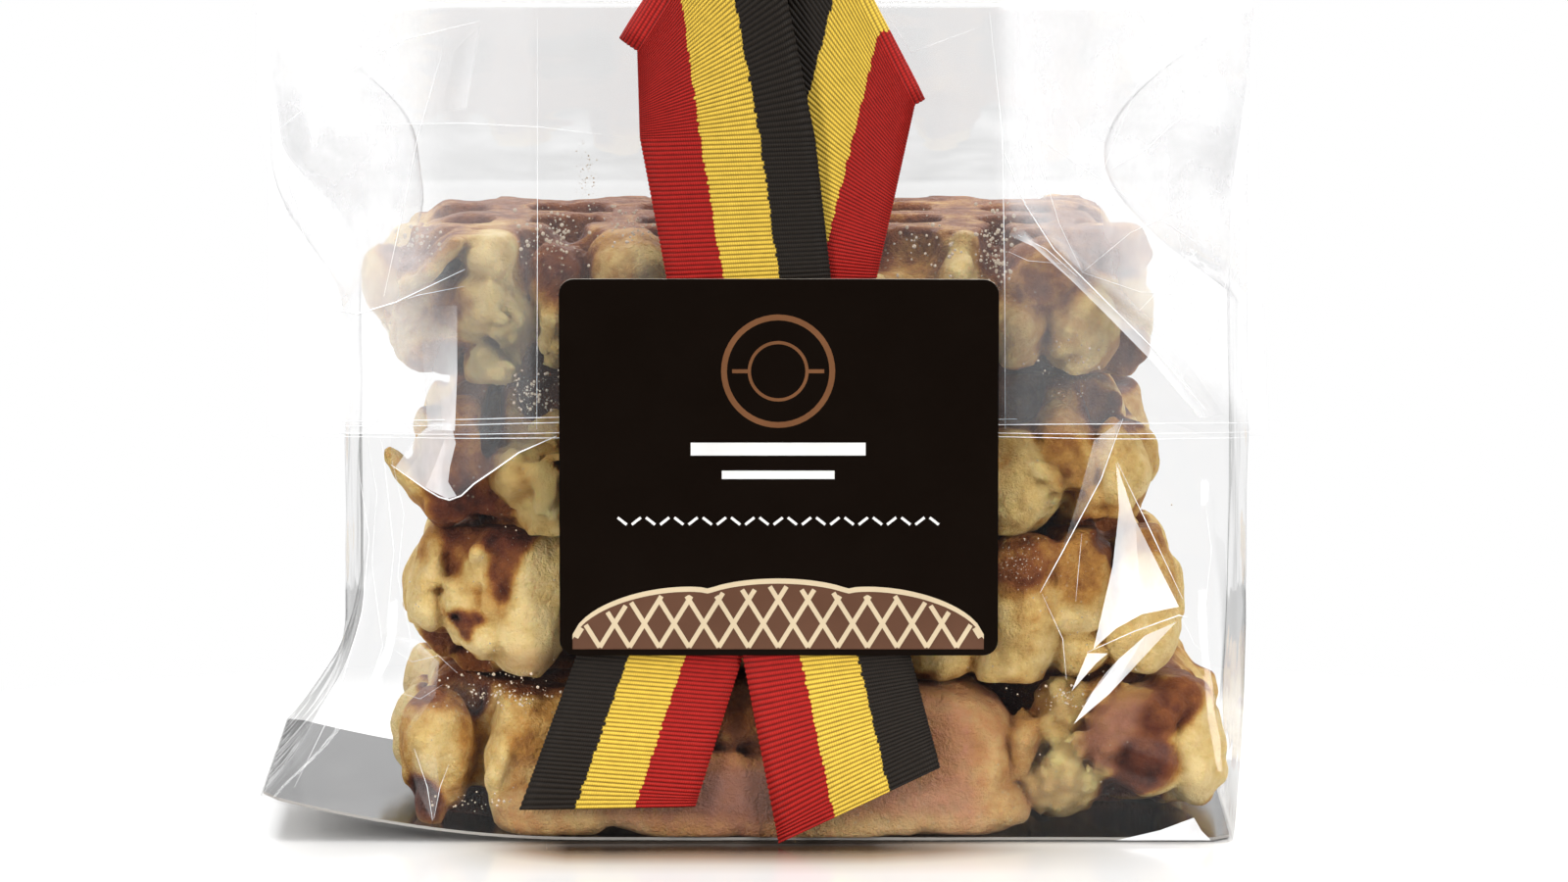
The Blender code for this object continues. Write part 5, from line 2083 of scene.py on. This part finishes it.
@dataclass
class LabelPaper:
    """The stiff coated paper that lies over the ribbon's crossing.

    Args:
        width: Width in millimetres.
        height: Height.
        corner: Radius of its corners.
        centre: Its middle as (x, z).
        back_y: Depth of its back face.
        thickness: Thickness of the paper.
    """

    width: float = 67.8
    height: float = 58.6
    corner: float = 2.3
    centre: tuple[float, float] = (-0.8, 59.3)
    back_y: float = -43.9
    thickness: float = 0.5

    def bend(self, x: float, z: float) -> float:
        """How far the paper lifts off at a point, most at its upper right corner."""
        across = (x - self.centre[0]) / self.width + 0.5
        up = (z - self.centre[1]) / self.height + 0.5
        corner = max(0.0, across - 0.62) / 0.38 * max(0.0, up - 0.55) / 0.45
        bow = 0.25 * (1 - abs(2 * across - 1)) * math.sin(math.pi * up)
        return 0.9 * corner**1.5 + 0.12 * bow

    def outline(self, inset: float) -> list[tuple[float, float]]:
        """Points round the paper's rounded edge, counterclockwise from the lower right."""
        radius = self.corner - inset
        half_width = self.width / 2 - self.corner
        half_height = self.height / 2 - self.corner
        points = []
        corners = ((1, -1), (1, 1), (-1, 1), (-1, -1))
        for quarter, (side, end) in enumerate(corners):
            for step in range(7):
                angle = math.pi / 2 * (quarter - 1 + step / 6)
                x = self.centre[0] + side * half_width + radius * math.cos(angle)
                points.append((x, self.centre[1] + end * half_height + radius * math.sin(angle)))
            after = corners[(quarter + 1) % 4]
            for step in range(1, 10):
                x_side = mix(side, after[0], step / 10)
                z_side = mix(end, after[1], step / 10)
                turn = math.pi / 2 * quarter
                x = self.centre[0] + x_side * half_width + radius * math.cos(turn)
                z = self.centre[1] + z_side * half_height + radius * math.sin(turn)
                points.append((x, z))
        return points

    def build(self, coat: bpy.types.Material, core: bpy.types.Material) -> bpy.types.Object:
        """Makes the paper with its pale cut edge."""
        front_y = self.back_y - self.thickness
        shape = bmesh.new()
        rings = []
        levels = ((front_y + 0.08, 0.0), (self.back_y, 0.0))
        face_rings = [self.outline(0.08 + 2.1 * step / 4) for step in range(1)]
        for depth, inset in levels:
            ring = []
            for x, z in self.outline(inset):
                ring.append(shape.verts.new(Vector((x, depth - self.bend(x, z), z)) * MM))
            rings.append(ring)
        columns, rows = 24, 20
        edge = []
        for x, z in face_rings[0]:
            edge.append(shape.verts.new(Vector((x, front_y - self.bend(x, z), z)) * MM))
        count = len(edge)
        for number in range(count):
            after = (number + 1) % count
            front_edge = (rings[0][number], rings[0][after], edge[after], edge[number])
            shape.faces.new(front_edge).material_index = 0
            side = (rings[1][number], rings[1][after], rings[0][after], rings[0][number])
            shape.faces.new(side).material_index = 1
        self.fill(shape, edge, front_y, columns, rows, 0)
        self.fill(shape, rings[1], self.back_y, columns, rows, 1)
        mesh = bpy.data.meshes.new("label_paper")
        bmesh.ops.recalc_face_normals(shape, faces=shape.faces)
        shape.to_mesh(mesh)
        shape.free()
        for polygon in mesh.polygons:
            polygon.use_smooth = True
        mesh.set_sharp_from_angle(angle=0.7)
        mesh.materials.append(coat)
        mesh.materials.append(core)
        piece = bpy.data.objects.new("label_card", mesh)
        bpy.context.scene.collection.objects.link(piece)
        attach(piece, ROOT)
        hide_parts("label")
        return piece

    def fill(
        self,
        shape: bmesh.types.BMesh,
        ring: list[bmesh.types.BMVert],
        depth: float,
        columns: int,
        rows: int,
        finish: int,
    ) -> None:
        """Fills a closed ring of points with a grid that follows the paper's bend.

        Args:
            shape: The mesh to add to.
            ring: The points round the edge.
            depth: Y position of the flat paper.
            columns: Grid steps across.
            rows: Grid steps up.
            finish: Material number of the new faces.
        """
        flat = [Vector((vert.co.x, vert.co.z)) for vert in ring]
        extra = []
        for row in range(1, rows):
            for column in range(1, columns):
                x = self.centre[0] + self.width * (column / columns - 0.5) * 0.96
                z = self.centre[1] + self.height * (row / rows - 0.5) * 0.96
                extra.append(Vector((x * MM, z * MM)))
        outline = [list(range(len(ring)))]
        made = delaunay_2d_cdt(flat + extra, [], outline, 1, 1e-7)
        points, _, faces = made[0], made[1], made[2]
        sources = made[3]
        verts = []
        for number, place in enumerate(points):
            known = [source for source in sources[number] if source < len(ring)]
            if known:
                verts.append(ring[known[0]])
                continue
            x, z = place.x / MM, place.y / MM
            verts.append(shape.verts.new(Vector((x, depth - self.bend(x, z), z)) * MM))
        for face in faces:
            shape.faces.new([verts[number] for number in face]).material_index = finish


@dataclass
class LabelPrint:
    """Plain foil shapes laid on the label: a ring, thin rules and a scalloped arch.

    Args:
        paper: The paper that carries them.
        lift: How far they stand off the paper, in millimetres.
    """

    paper: LabelPaper
    lift: float = 0.035
    shapes: list[tuple[list[tuple[float, float]], int, float]] = field(default_factory=list)

    def add_quad_run(
        self, first: list[tuple[float, float]], second: list[tuple[float, float]], finish: int,
        layer: float = 0.0,
    ) -> None:
        """Adds a band of quads between two lines of points."""
        for step in range(len(first) - 1):
            corners = [first[step], first[step + 1], second[step + 1], second[step]]
            self.shapes.append((corners, finish, layer))

    def add_bar(
        self, start: tuple[float, float], end: tuple[float, float], width: float, finish: int,
        layer: float = 0.0,
    ) -> None:
        """Adds a thin straight bar."""
        run = Vector((end[0] - start[0], end[1] - start[1]))
        side = Vector((-run.y, run.x)).normalized() * (width / 2)
        steps = max(1, int(run.length / 4))
        first, second = [], []
        for step in range(steps + 1):
            middle = Vector(start) + run * (step / steps)
            first.append(tuple(middle - side))
            second.append(tuple(middle + side))
        self.add_quad_run(first, second, finish, layer)

    def add_ring(self, centre: tuple[float, float], outer: float, inner: float, finish: int):
        """Adds a flat ring."""
        rims = []
        for radius in (outer, inner):
            rim = []
            for step in range(49):
                angle = 2 * math.pi * step / 48
                rim.append(
                    (centre[0] + radius * math.cos(angle), centre[1] + radius * math.sin(angle))
                )
            rims.append(rim)
        self.add_quad_run(rims[0], rims[1], finish)

    def arch_top(self, x: float) -> float:
        """Upper edge of the ornament: three wide scallops on a shallow arch."""
        share = (x + 0.9) / 32.0
        lobe = abs(math.sin(math.pi * (share * 1.5 + 0.5)))
        return 31.4 + 8.6 * math.sqrt(max(1 - share * share, 0.0)) + 1.3 * math.sqrt(lobe)

    def add_arch(self) -> None:
        """Adds the brown arch, its lattice and its pale border."""
        low, high, border_low, border_high = [], [], [], []
        for step in range(65):
            x = mix(-32.7, 30.9, step / 64)
            low.append((x, 31.0))
            high.append((x, self.arch_top(x)))
            border_low.append((x, self.arch_top(x) - 0.05))
            border_high.append((x, self.arch_top(x) + 0.75))
        self.add_quad_run(low, high, 1)
        self.add_quad_run(border_low, border_high, 2, 0.01)
        spacing, lean = 4.6, 0.62
        for direction in (-1, 1):
            for number in range(-14, 15):
                base = -0.9 + number * spacing
                points = []
                for step in range(25):
                    rise = step / 24 * 12.0
                    x = base + direction * lean * rise
                    z = 31.3 + rise
                    if -32.2 < x < 30.4 and z < self.arch_top(x) - 0.4:
                        points.append((x, z))
                if len(points) > 1:
                    self.add_bar(points[0], points[-1], 0.72, 2, 0.01 if direction > 0 else 0.015)

    def build(self, finishes: list[bpy.types.Material]) -> bpy.types.Object:
        """Makes the printed shapes as one piece."""
        self.add_ring((-0.9, 74.3), 8.8, 7.9, 0)
        self.add_ring((-0.9, 74.3), 4.7, 4.2, 0)
        for start, end in (((-8.0, 74.3), (-5.6, 74.3)), ((3.8, 74.3), (6.2, 74.3))):
            self.add_bar(start, end, 0.6, 0)
        self.add_bar((-14.4, 62.2), (12.6, 62.2), 2.0, 3)
        self.add_bar((-9.6, 58.2), (7.8, 58.2), 1.3, 3)
        for step in range(23):
            x = mix(-25.0, 23.2, step / 22)
            tilt = 0.55 if step % 2 else -0.55
            self.add_bar((x - 0.7, 51.0 - tilt), (x + 0.7, 51.0 + tilt), 0.42, 3)
        self.add_arch()
        points, faces, slots = [], [], []
        front = self.paper.back_y - self.paper.thickness - self.lift
        for corners, finish, layer in self.shapes:
            start = len(points)
            for x, z in corners:
                points.append((x, front - layer - self.paper.bend(x, z), z))
            area = sum(
                a[0] * b[1] - b[0] * a[1] for a, b in zip(corners, corners[1:] + corners[:1])
            )
            face = tuple(range(start, start + len(corners)))
            faces.append(face if area > 0 else tuple(reversed(face)))
            slots.append(finish)
        piece = MeshSketch(np.array(points), faces, slots).build("label_print", finishes)
        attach(piece, ROOT)
        return piece


# --- Ribbon --------------------------------------------------------------------------

Edge = tuple[Vector, Vector]
Station = tuple[tuple[float, float], tuple[float, float]]


@dataclass
class RibbonPath:
    """The ribbon's way round its loop and down as two tails, in millimetres."""

    under_y: float = -42.55
    over_y: float = -43.35
    left_fold_y: float = -46.8
    left_fold_radius: float = 3.2
    right_fold_y: float = -44.6
    right_fold_radius: float = 1.6
    loop_bulge: float = 3.0
    left_slope: float = 0.32
    right_slope: float = 0.28
    left_tail_end: Station = ((-13.8, 6.0), (-41.1, 5.5))
    left_tail_top: Station = ((-6.4, 29.6), (-32.2, 29.6))
    right_strip_foot: Station = ((14.3, 88.7), (-11.6, 88.7))
    right_fold: Station = ((21.5, 116.4), (5.2, 147.8))
    left_fold: Station = ((-25.1, 126.0), (-6.5, 155.0))
    left_strip_middle: Station = ((-22.1, 110.5), (4.8, 110.5))
    left_strip_foot: Station = ((-18.1, 88.8), (7.2, 88.8))
    right_tail_top: Station = ((-6.4, 29.8), (19.6, 29.8))
    right_tail_end: Station = ((-0.8, 0.4), (24.2, 12.3))

    @staticmethod
    def at(station: Station, y: float) -> Edge:
        """A station's outer and inner edge points, both at one depth."""
        return tuple(Vector((x, y, z)) for x, z in station)

    @staticmethod
    def between(first: Edge, last: Edge, steps: int) -> list[Edge]:
        """Rulings that turn evenly from the first pair of edge points to the last."""
        made = []
        for step in range(steps):
            share = step / steps
            made.append(tuple(a.lerp(b, share) for a, b in zip(first, last)))
        return made

    def turned(self, station: Station, axis_y: float, radius: float, outward: int) -> list[Edge]:
        """Rulings round half a cylinder that lies along the station, front to back."""
        outer, inner = self.at(station, axis_y)
        along = (inner - outer).normalized()
        sideways = Vector((along.z, 0, -along.x)) * outward
        made = []
        for step in range(25):
            angle = math.pi * step / 24
            shift = sideways * radius * (math.sin(angle) - 1)
            shift += Vector((0, -radius * math.cos(angle), 0))
            made.append((outer + shift, inner + shift))
        return made

    def arch(self, start: Vector, end: Vector, bulge: float, share: float) -> Vector:
        """A point on the low arch over the back of the loop."""
        run = end.x - start.x
        rise = self.left_slope * share * (1 - share) ** 2
        rise += self.right_slope * share**2 * (1 - share)
        point = start.lerp(end, ease(share))
        point.x = mix(start.x, end.x, share)
        point.z += run * rise
        point.y += bulge * math.sin(math.pi * share)
        return point

    def rulings(self) -> list[Edge]:
        """Lines across the ribbon, from the left tail's end to the right's."""
        right_turn = self.turned(self.right_fold, self.right_fold_y, self.right_fold_radius, 1)
        left_turn = self.turned(self.left_fold, self.left_fold_y, self.left_fold_radius, -1)
        tail_top = self.at(self.left_tail_top, self.under_y)
        right_foot = self.at(self.right_strip_foot, self.under_y)
        middle_y = mix(self.over_y, self.left_fold_y - self.left_fold_radius, 0.42)
        left_middle = self.at(self.left_strip_middle, middle_y)
        left_foot = self.at(self.left_strip_foot, self.over_y)
        over_top = self.at(self.right_tail_top, self.over_y)
        over_end = self.at(self.right_tail_end, self.over_y)
        lines = self.between(self.at(self.left_tail_end, self.under_y), tail_top, 6)
        lines += self.between(tail_top, right_foot, 8)
        lines += self.between(right_foot, right_turn[0], 16)
        lines += right_turn
        back, front = left_turn[-1], right_turn[-1]
        for step in range(23, 0, -1):
            outer = self.arch(back[0], front[0], 0.0, step / 24)
            inner = self.arch(back[1], front[1], self.loop_bulge, step / 24)
            lines.append((outer, inner))
        lines += reversed(left_turn)
        lines += self.between(left_turn[0], left_middle, 16)[1:]
        lines += self.between(left_middle, left_foot, 8)
        lines += self.between(left_foot, over_top, 8)
        lines += self.between(over_top, over_end, 6)
        lines.append(over_end)
        return lines


@dataclass
class Ribbon:
    """The ribbed three-striped ribbon.

    Args:
        path: Its way round the loop.
        rib: Distance between two ribs, in millimetres.
        steps_per_rib: Rows of points for each rib.
        columns: Steps across the width.
        thickness: Its thickness.
        relief: How far a rib stands up.
        lean: Slope of the ribs in the tails, in degrees.
    """

    path: RibbonPath = field(default_factory=RibbonPath)
    rib: float = 0.70
    steps_per_rib: int = 4
    columns: int = 12
    thickness: float = 0.42
    relief: float = 0.10
    lean: float = 6.0
    length: float = 0.0

    def build(self, cloth: bpy.types.Material) -> bpy.types.Object:
        lines = self.path.rulings()
        middles = [(outer + inner) / 2 for outer, inner in lines]
        travel = [0.0]
        for before, after in zip(middles, middles[1:]):
            travel.append(travel[-1] + (after - before).length)
        self.length = travel[-1]
        count = int(self.length / self.rib * self.steps_per_rib)
        stations = np.linspace(0.0, self.length, count + 1)
        outer = self.resampled([line[0] for line in lines], travel)
        inner = self.resampled([line[1] for line in lines], travel)
        sheets = []
        wide = self.columns + 1
        share = np.arange(wide) / self.columns
        half_width = 12.7
        grid = np.zeros((len(stations), wide, 3))
        ribs = np.zeros((len(stations), wide))
        for row, station in enumerate(stations):
            lean = math.tan(math.radians(self.lean)) * (2 * station / self.length - 1)
            lean *= -ease(station / 4) * ease((self.length - station) / 4)
            for column in range(wide):
                offset = lean * (share[column] - 0.5) * 2 * half_width
                spot = min(max(station + offset, 0.0), self.length)
                start, end = outer(spot), inner(spot)
                grid[row, column] = start + (end - start) * share[column]
                ribs[row, column] = station / self.rib
        normals = self.normals(grid)
        wave = self.relief * np.abs(np.sin(math.pi * ribs))
        edge = 0.16 * np.abs(np.sin(math.pi * ribs[:, 0]))
        across = grid[:, -1] - grid[:, 0]
        across /= np.linalg.norm(across, axis=1)[:, None]
        grid[:, 0] -= across * (edge[:, None] - 0.08)
        grid[:, -1] += across * (edge[:, None] - 0.08)
        thick = np.full(wide, self.thickness / 2)
        thick[[0, -1]] *= 0.55
        for side in (1, -1):
            sheets.append(grid + normals * side * (thick[None, :, None] + wave[:, :, None] - 0.03))
        count_points = len(stations) * wide
        points = np.concatenate([sheets[0].reshape(-1, 3), sheets[1].reshape(-1, 3)])
        faces = [tuple(reversed(f)) for f in strip_faces(len(stations), wide)]
        faces += strip_faces(len(stations), wide, count_points)
        for row in range(len(stations) - 1):
            for column, flip in ((0, False), (wide - 1, True)):
                low, high = row * wide + column, (row + 1) * wide + column
                quad = (low, high, high + count_points, low + count_points)
                faces.append(tuple(reversed(quad)) if flip else quad)
        for row, flip in ((0, True), (len(stations) - 1, False)):
            for column in range(wide - 1):
                low = row * wide + column
                quad = (low, low + 1, low + 1 + count_points, low + count_points)
                faces.append(tuple(reversed(quad)) if flip else quad)
        flat = np.stack([np.tile(share, len(stations)), ribs.ravel()], axis=1)
        texture = np.concatenate([flat, flat])
        sketch = MeshSketch(points, faces, texture=texture)
        piece = sketch.build("ribbon_band", [cloth])
        turn_outwards(piece)
        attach(piece, ROOT)
        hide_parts("ribbon")
        return piece

    @staticmethod
    def resampled(points: list[Vector], travel: list[float]):
        """A function that gives the point of a line at a distance along the ribbon."""
        places = np.array([tuple(point) for point in points])
        steps = np.array(travel)

        def at(distance: float) -> np.ndarray:
            """The point at a distance."""
            return np.array([np.interp(distance, steps, places[:, axis]) for axis in range(3)])

        return at

    @staticmethod
    def normals(grid: np.ndarray) -> np.ndarray:
        """Unit directions square to the ribbon at every point."""
        along = np.gradient(grid, axis=0)
        across = np.gradient(grid, axis=1)
        square = np.cross(along, across)
        return square / np.maximum(np.linalg.norm(square, axis=2)[:, :, None], 1e-9)


@dataclass
class RibbonThreads:
    """Loose threads at the ribbon's cut ends.

    Args:
        seed: Seed of their lengths.
    """

    seed: int = 3

    def build(self, finish: bpy.types.Material) -> bpy.types.Object:
        """Makes the threads as one piece."""
        random = np.random.default_rng(self.seed)
        strands = Strands("ribbon_threads", sides=4)
        path = RibbonPath()
        ends = (
            (path.left_tail_end, path.left_tail_top, path.under_y, 40),
            (path.right_tail_end, path.right_tail_top, path.over_y, 40),
        )
        for station, before, depth, count in ends:
            for _ in range(count):
                share = float(random.uniform(0.01, 0.99))
                x = mix(station[0][0], station[1][0], share)
                z = mix(station[0][1], station[1][1], share)
                top_x = mix(before[0][0], before[1][0], share)
                top_z = mix(before[0][1], before[1][1], share)
                way = Vector((x - top_x, 0, z - top_z)).normalized()
                start = Vector((x, depth, z)) - way * 0.5
                reach = float(random.uniform(0.3, 1.1))
                bend = Vector((float(random.uniform(-0.3, 0.3)), -0.1, 0))
                end = start + way * (0.5 + reach) + bend
                if end.z < 0.25:
                    continue
                middle = (start + end) / 2 + bend * 0.5
                strands.add([tuple(start), tuple(middle), tuple(end)], 0.055)
        piece = strands.build(finish)
        return piece


# --- Studio --------------------------------------------------------------------------


@dataclass
class Studio:
    """Pale table, soft lamps and the camera.

    Args:
        backdrop: Brightness of the white wall behind, as the pack mirrors it.
        fill: Brightness of the room all round.
    """

    backdrop: float = 0.95
    fill: float = 0.10

    def lamp(self, name: str, place: Vector, target: Vector, size: tuple, power: float) -> None:
        """Adds a rectangular softbox that faces a target."""
        light = bpy.data.lights.new(name, "AREA")
        light.shape = "RECTANGLE"
        light.size, light.size_y = size
        light.energy = power
        thing = bpy.data.objects.new(name, light)
        thing.location = place
        thing.rotation_euler = (target - place).to_track_quat("-Z", "Y").to_euler()
        bpy.context.scene.collection.objects.link(thing)

    def build(self) -> None:
        """Makes the table, the lamps, the backdrop and the camera."""
        floor_mesh = bpy.data.meshes.new("studio_table")
        half = 0.24
        corners = [(-half, -half, 0), (half, -half, 0), (half, half, 0), (-half, half, 0)]
        floor_mesh.from_pydata(corners, [], [(0, 1, 2, 3)])
        floor_mesh.materials.append(FloorFinish().build())
        floor = bpy.data.objects.new("studio_table", floor_mesh)
        bpy.context.scene.collection.objects.link(floor)
        target = Vector((0, 0, 0.08))
        self.lamp("left_box", Vector((-1.25, -1.15, 0.55)), target, (0.45, 1.3), 25.5)
        self.lamp("right_box", Vector((1.25, -1.15, 0.55)), target, (0.45, 1.3), 25.5)
        self.lamp("top_box", Vector((0, -0.25, 1.55)), target, (1.5, 1.1), 29.0)
        self.lamp("back_box", Vector((0, 1.5, 0.9)), target, (1.6, 0.9), 14.0)
        world = bpy.data.worlds.new("backdrop")
        world.use_nodes = True
        world.node_tree.nodes.clear()
        sky = NodeSheet(world.node_tree)
        toward = sky.add("ShaderNodeSeparateXYZ", {"Vector": sky.add("ShaderNodeTexCoord").outputs["Generated"]})
        behind = sky.math("MULTIPLY", toward.outputs["Y"], 1.6, clamp=True)
        above = sky.math("MULTIPLY_ADD", toward.outputs["Z"], 12.0, 0.4, clamp=True)
        aside = sky.math("ABSOLUTE", toward.outputs["X"])
        aside = sky.math("MULTIPLY_ADD", aside, 9.0, -0.5, clamp=True)
        bright = sky.math("MULTIPLY", behind, sky.math("MAXIMUM", above, aside))
        level = sky.math("MULTIPLY_ADD", bright, self.backdrop, self.fill)
        seen = sky.add("ShaderNodeLightPath").outputs["Is Camera Ray"]
        strength = sky.math("MAXIMUM", level, seen)
        back = sky.add("ShaderNodeBackground", {"Color": (1, 1, 1, 1), "Strength": strength})
        sky.add("ShaderNodeOutputWorld", {"Surface": back.outputs[0]})
        scene = bpy.context.scene
        scene.world = world
        scene.view_settings.view_transform = "Standard"
        scene.view_settings.look = "None"
        view = bpy.data.cameras.new("camera")
        view.lens = 222.75
        view.sensor_width = 36.0
        camera = bpy.data.objects.new("camera", view)
        camera.location = (0.0, -1.530, 0.2485)
        camera.rotation_euler = (math.radians(82.9), 0.0, 0.0)
        scene.collection.objects.link(camera)
        scene.camera = camera


def report(piece: bpy.types.Object) -> None:
    """Logs one finished piece."""
    log.info("%s: %d faces", piece.name, len(piece.data.polygons))


def main() -> None:
    """Builds the pack piece by piece."""
    logging.basicConfig(level=logging.INFO, format="%(name)s %(message)s")
    Studio().build()
    crust = CrustFinish().build()
    film = FilmFinish().build()
    # Opaque white for the crease tubes: a painted highlight along the film's folds and cut edges.
    crease = PlainFinish("painted_crease_highlight", (0.93, 0.93, 0.94), 0.2, 0.04).build()
    drop = PlainFinish("sugar_drop", (0.66, 0.52, 0.38), 0.04, 0.5).build()
    card_coat = PlainFinish("card_coat", (0.008, 0.008, 0.009), 0.12, 0.14).build()
    card_core = PlainFinish("card_core", (0.30, 0.28, 0.26), 0.7, 0.1).build()
    label_coat = PlainFinish(
        "label_coat", (0.0050, 0.0026, 0.0014), 0.30, 0.25, specular=0.12
    ).build()
    label_core = PlainFinish("label_core", (0.42, 0.37, 0.30), 0.7, 0.1).build()
    copper = PlainFinish("copper_foil", (0.62, 0.27, 0.12), 0.32, 0.3, 0.00002, 0.85).build()
    cocoa = PlainFinish("cocoa_ink", (0.11, 0.045, 0.022), 0.4, 0.3).build()
    cream = PlainFinish("cream_ink", (0.62, 0.50, 0.33), 0.4, 0.2).build()
    silver = PlainFinish("white_ink", (0.80, 0.79, 0.77), 0.4, 0.2).build()
    report(BaseCard().build(card_coat, card_core))
    for layer in (bottom_waffle(), third_waffle(), second_waffle(), top_waffle()):
        report(layer.build(crust))
    report(FilmBody().build(film))
    for sheet in FilmFlap().build(film):
        report(sheet)
    report(FilmPleats().build(film))
    report(FilmCreases().build(crease))
    report(Droplets().build(drop))
    paper = LabelPaper()
    report(paper.build(label_coat, label_core))
    report(LabelPrint(paper).build([copper, cocoa, cream, silver]))
    cloth = RibbonFinish().build()
    report(Ribbon().build(cloth))
    thread = PlainFinish("thread_end", (0.30, 0.16, 0.05), 0.7, 0.5).build()
    report(RibbonThreads().build(thread))


if __name__ == "__main__":
    main()
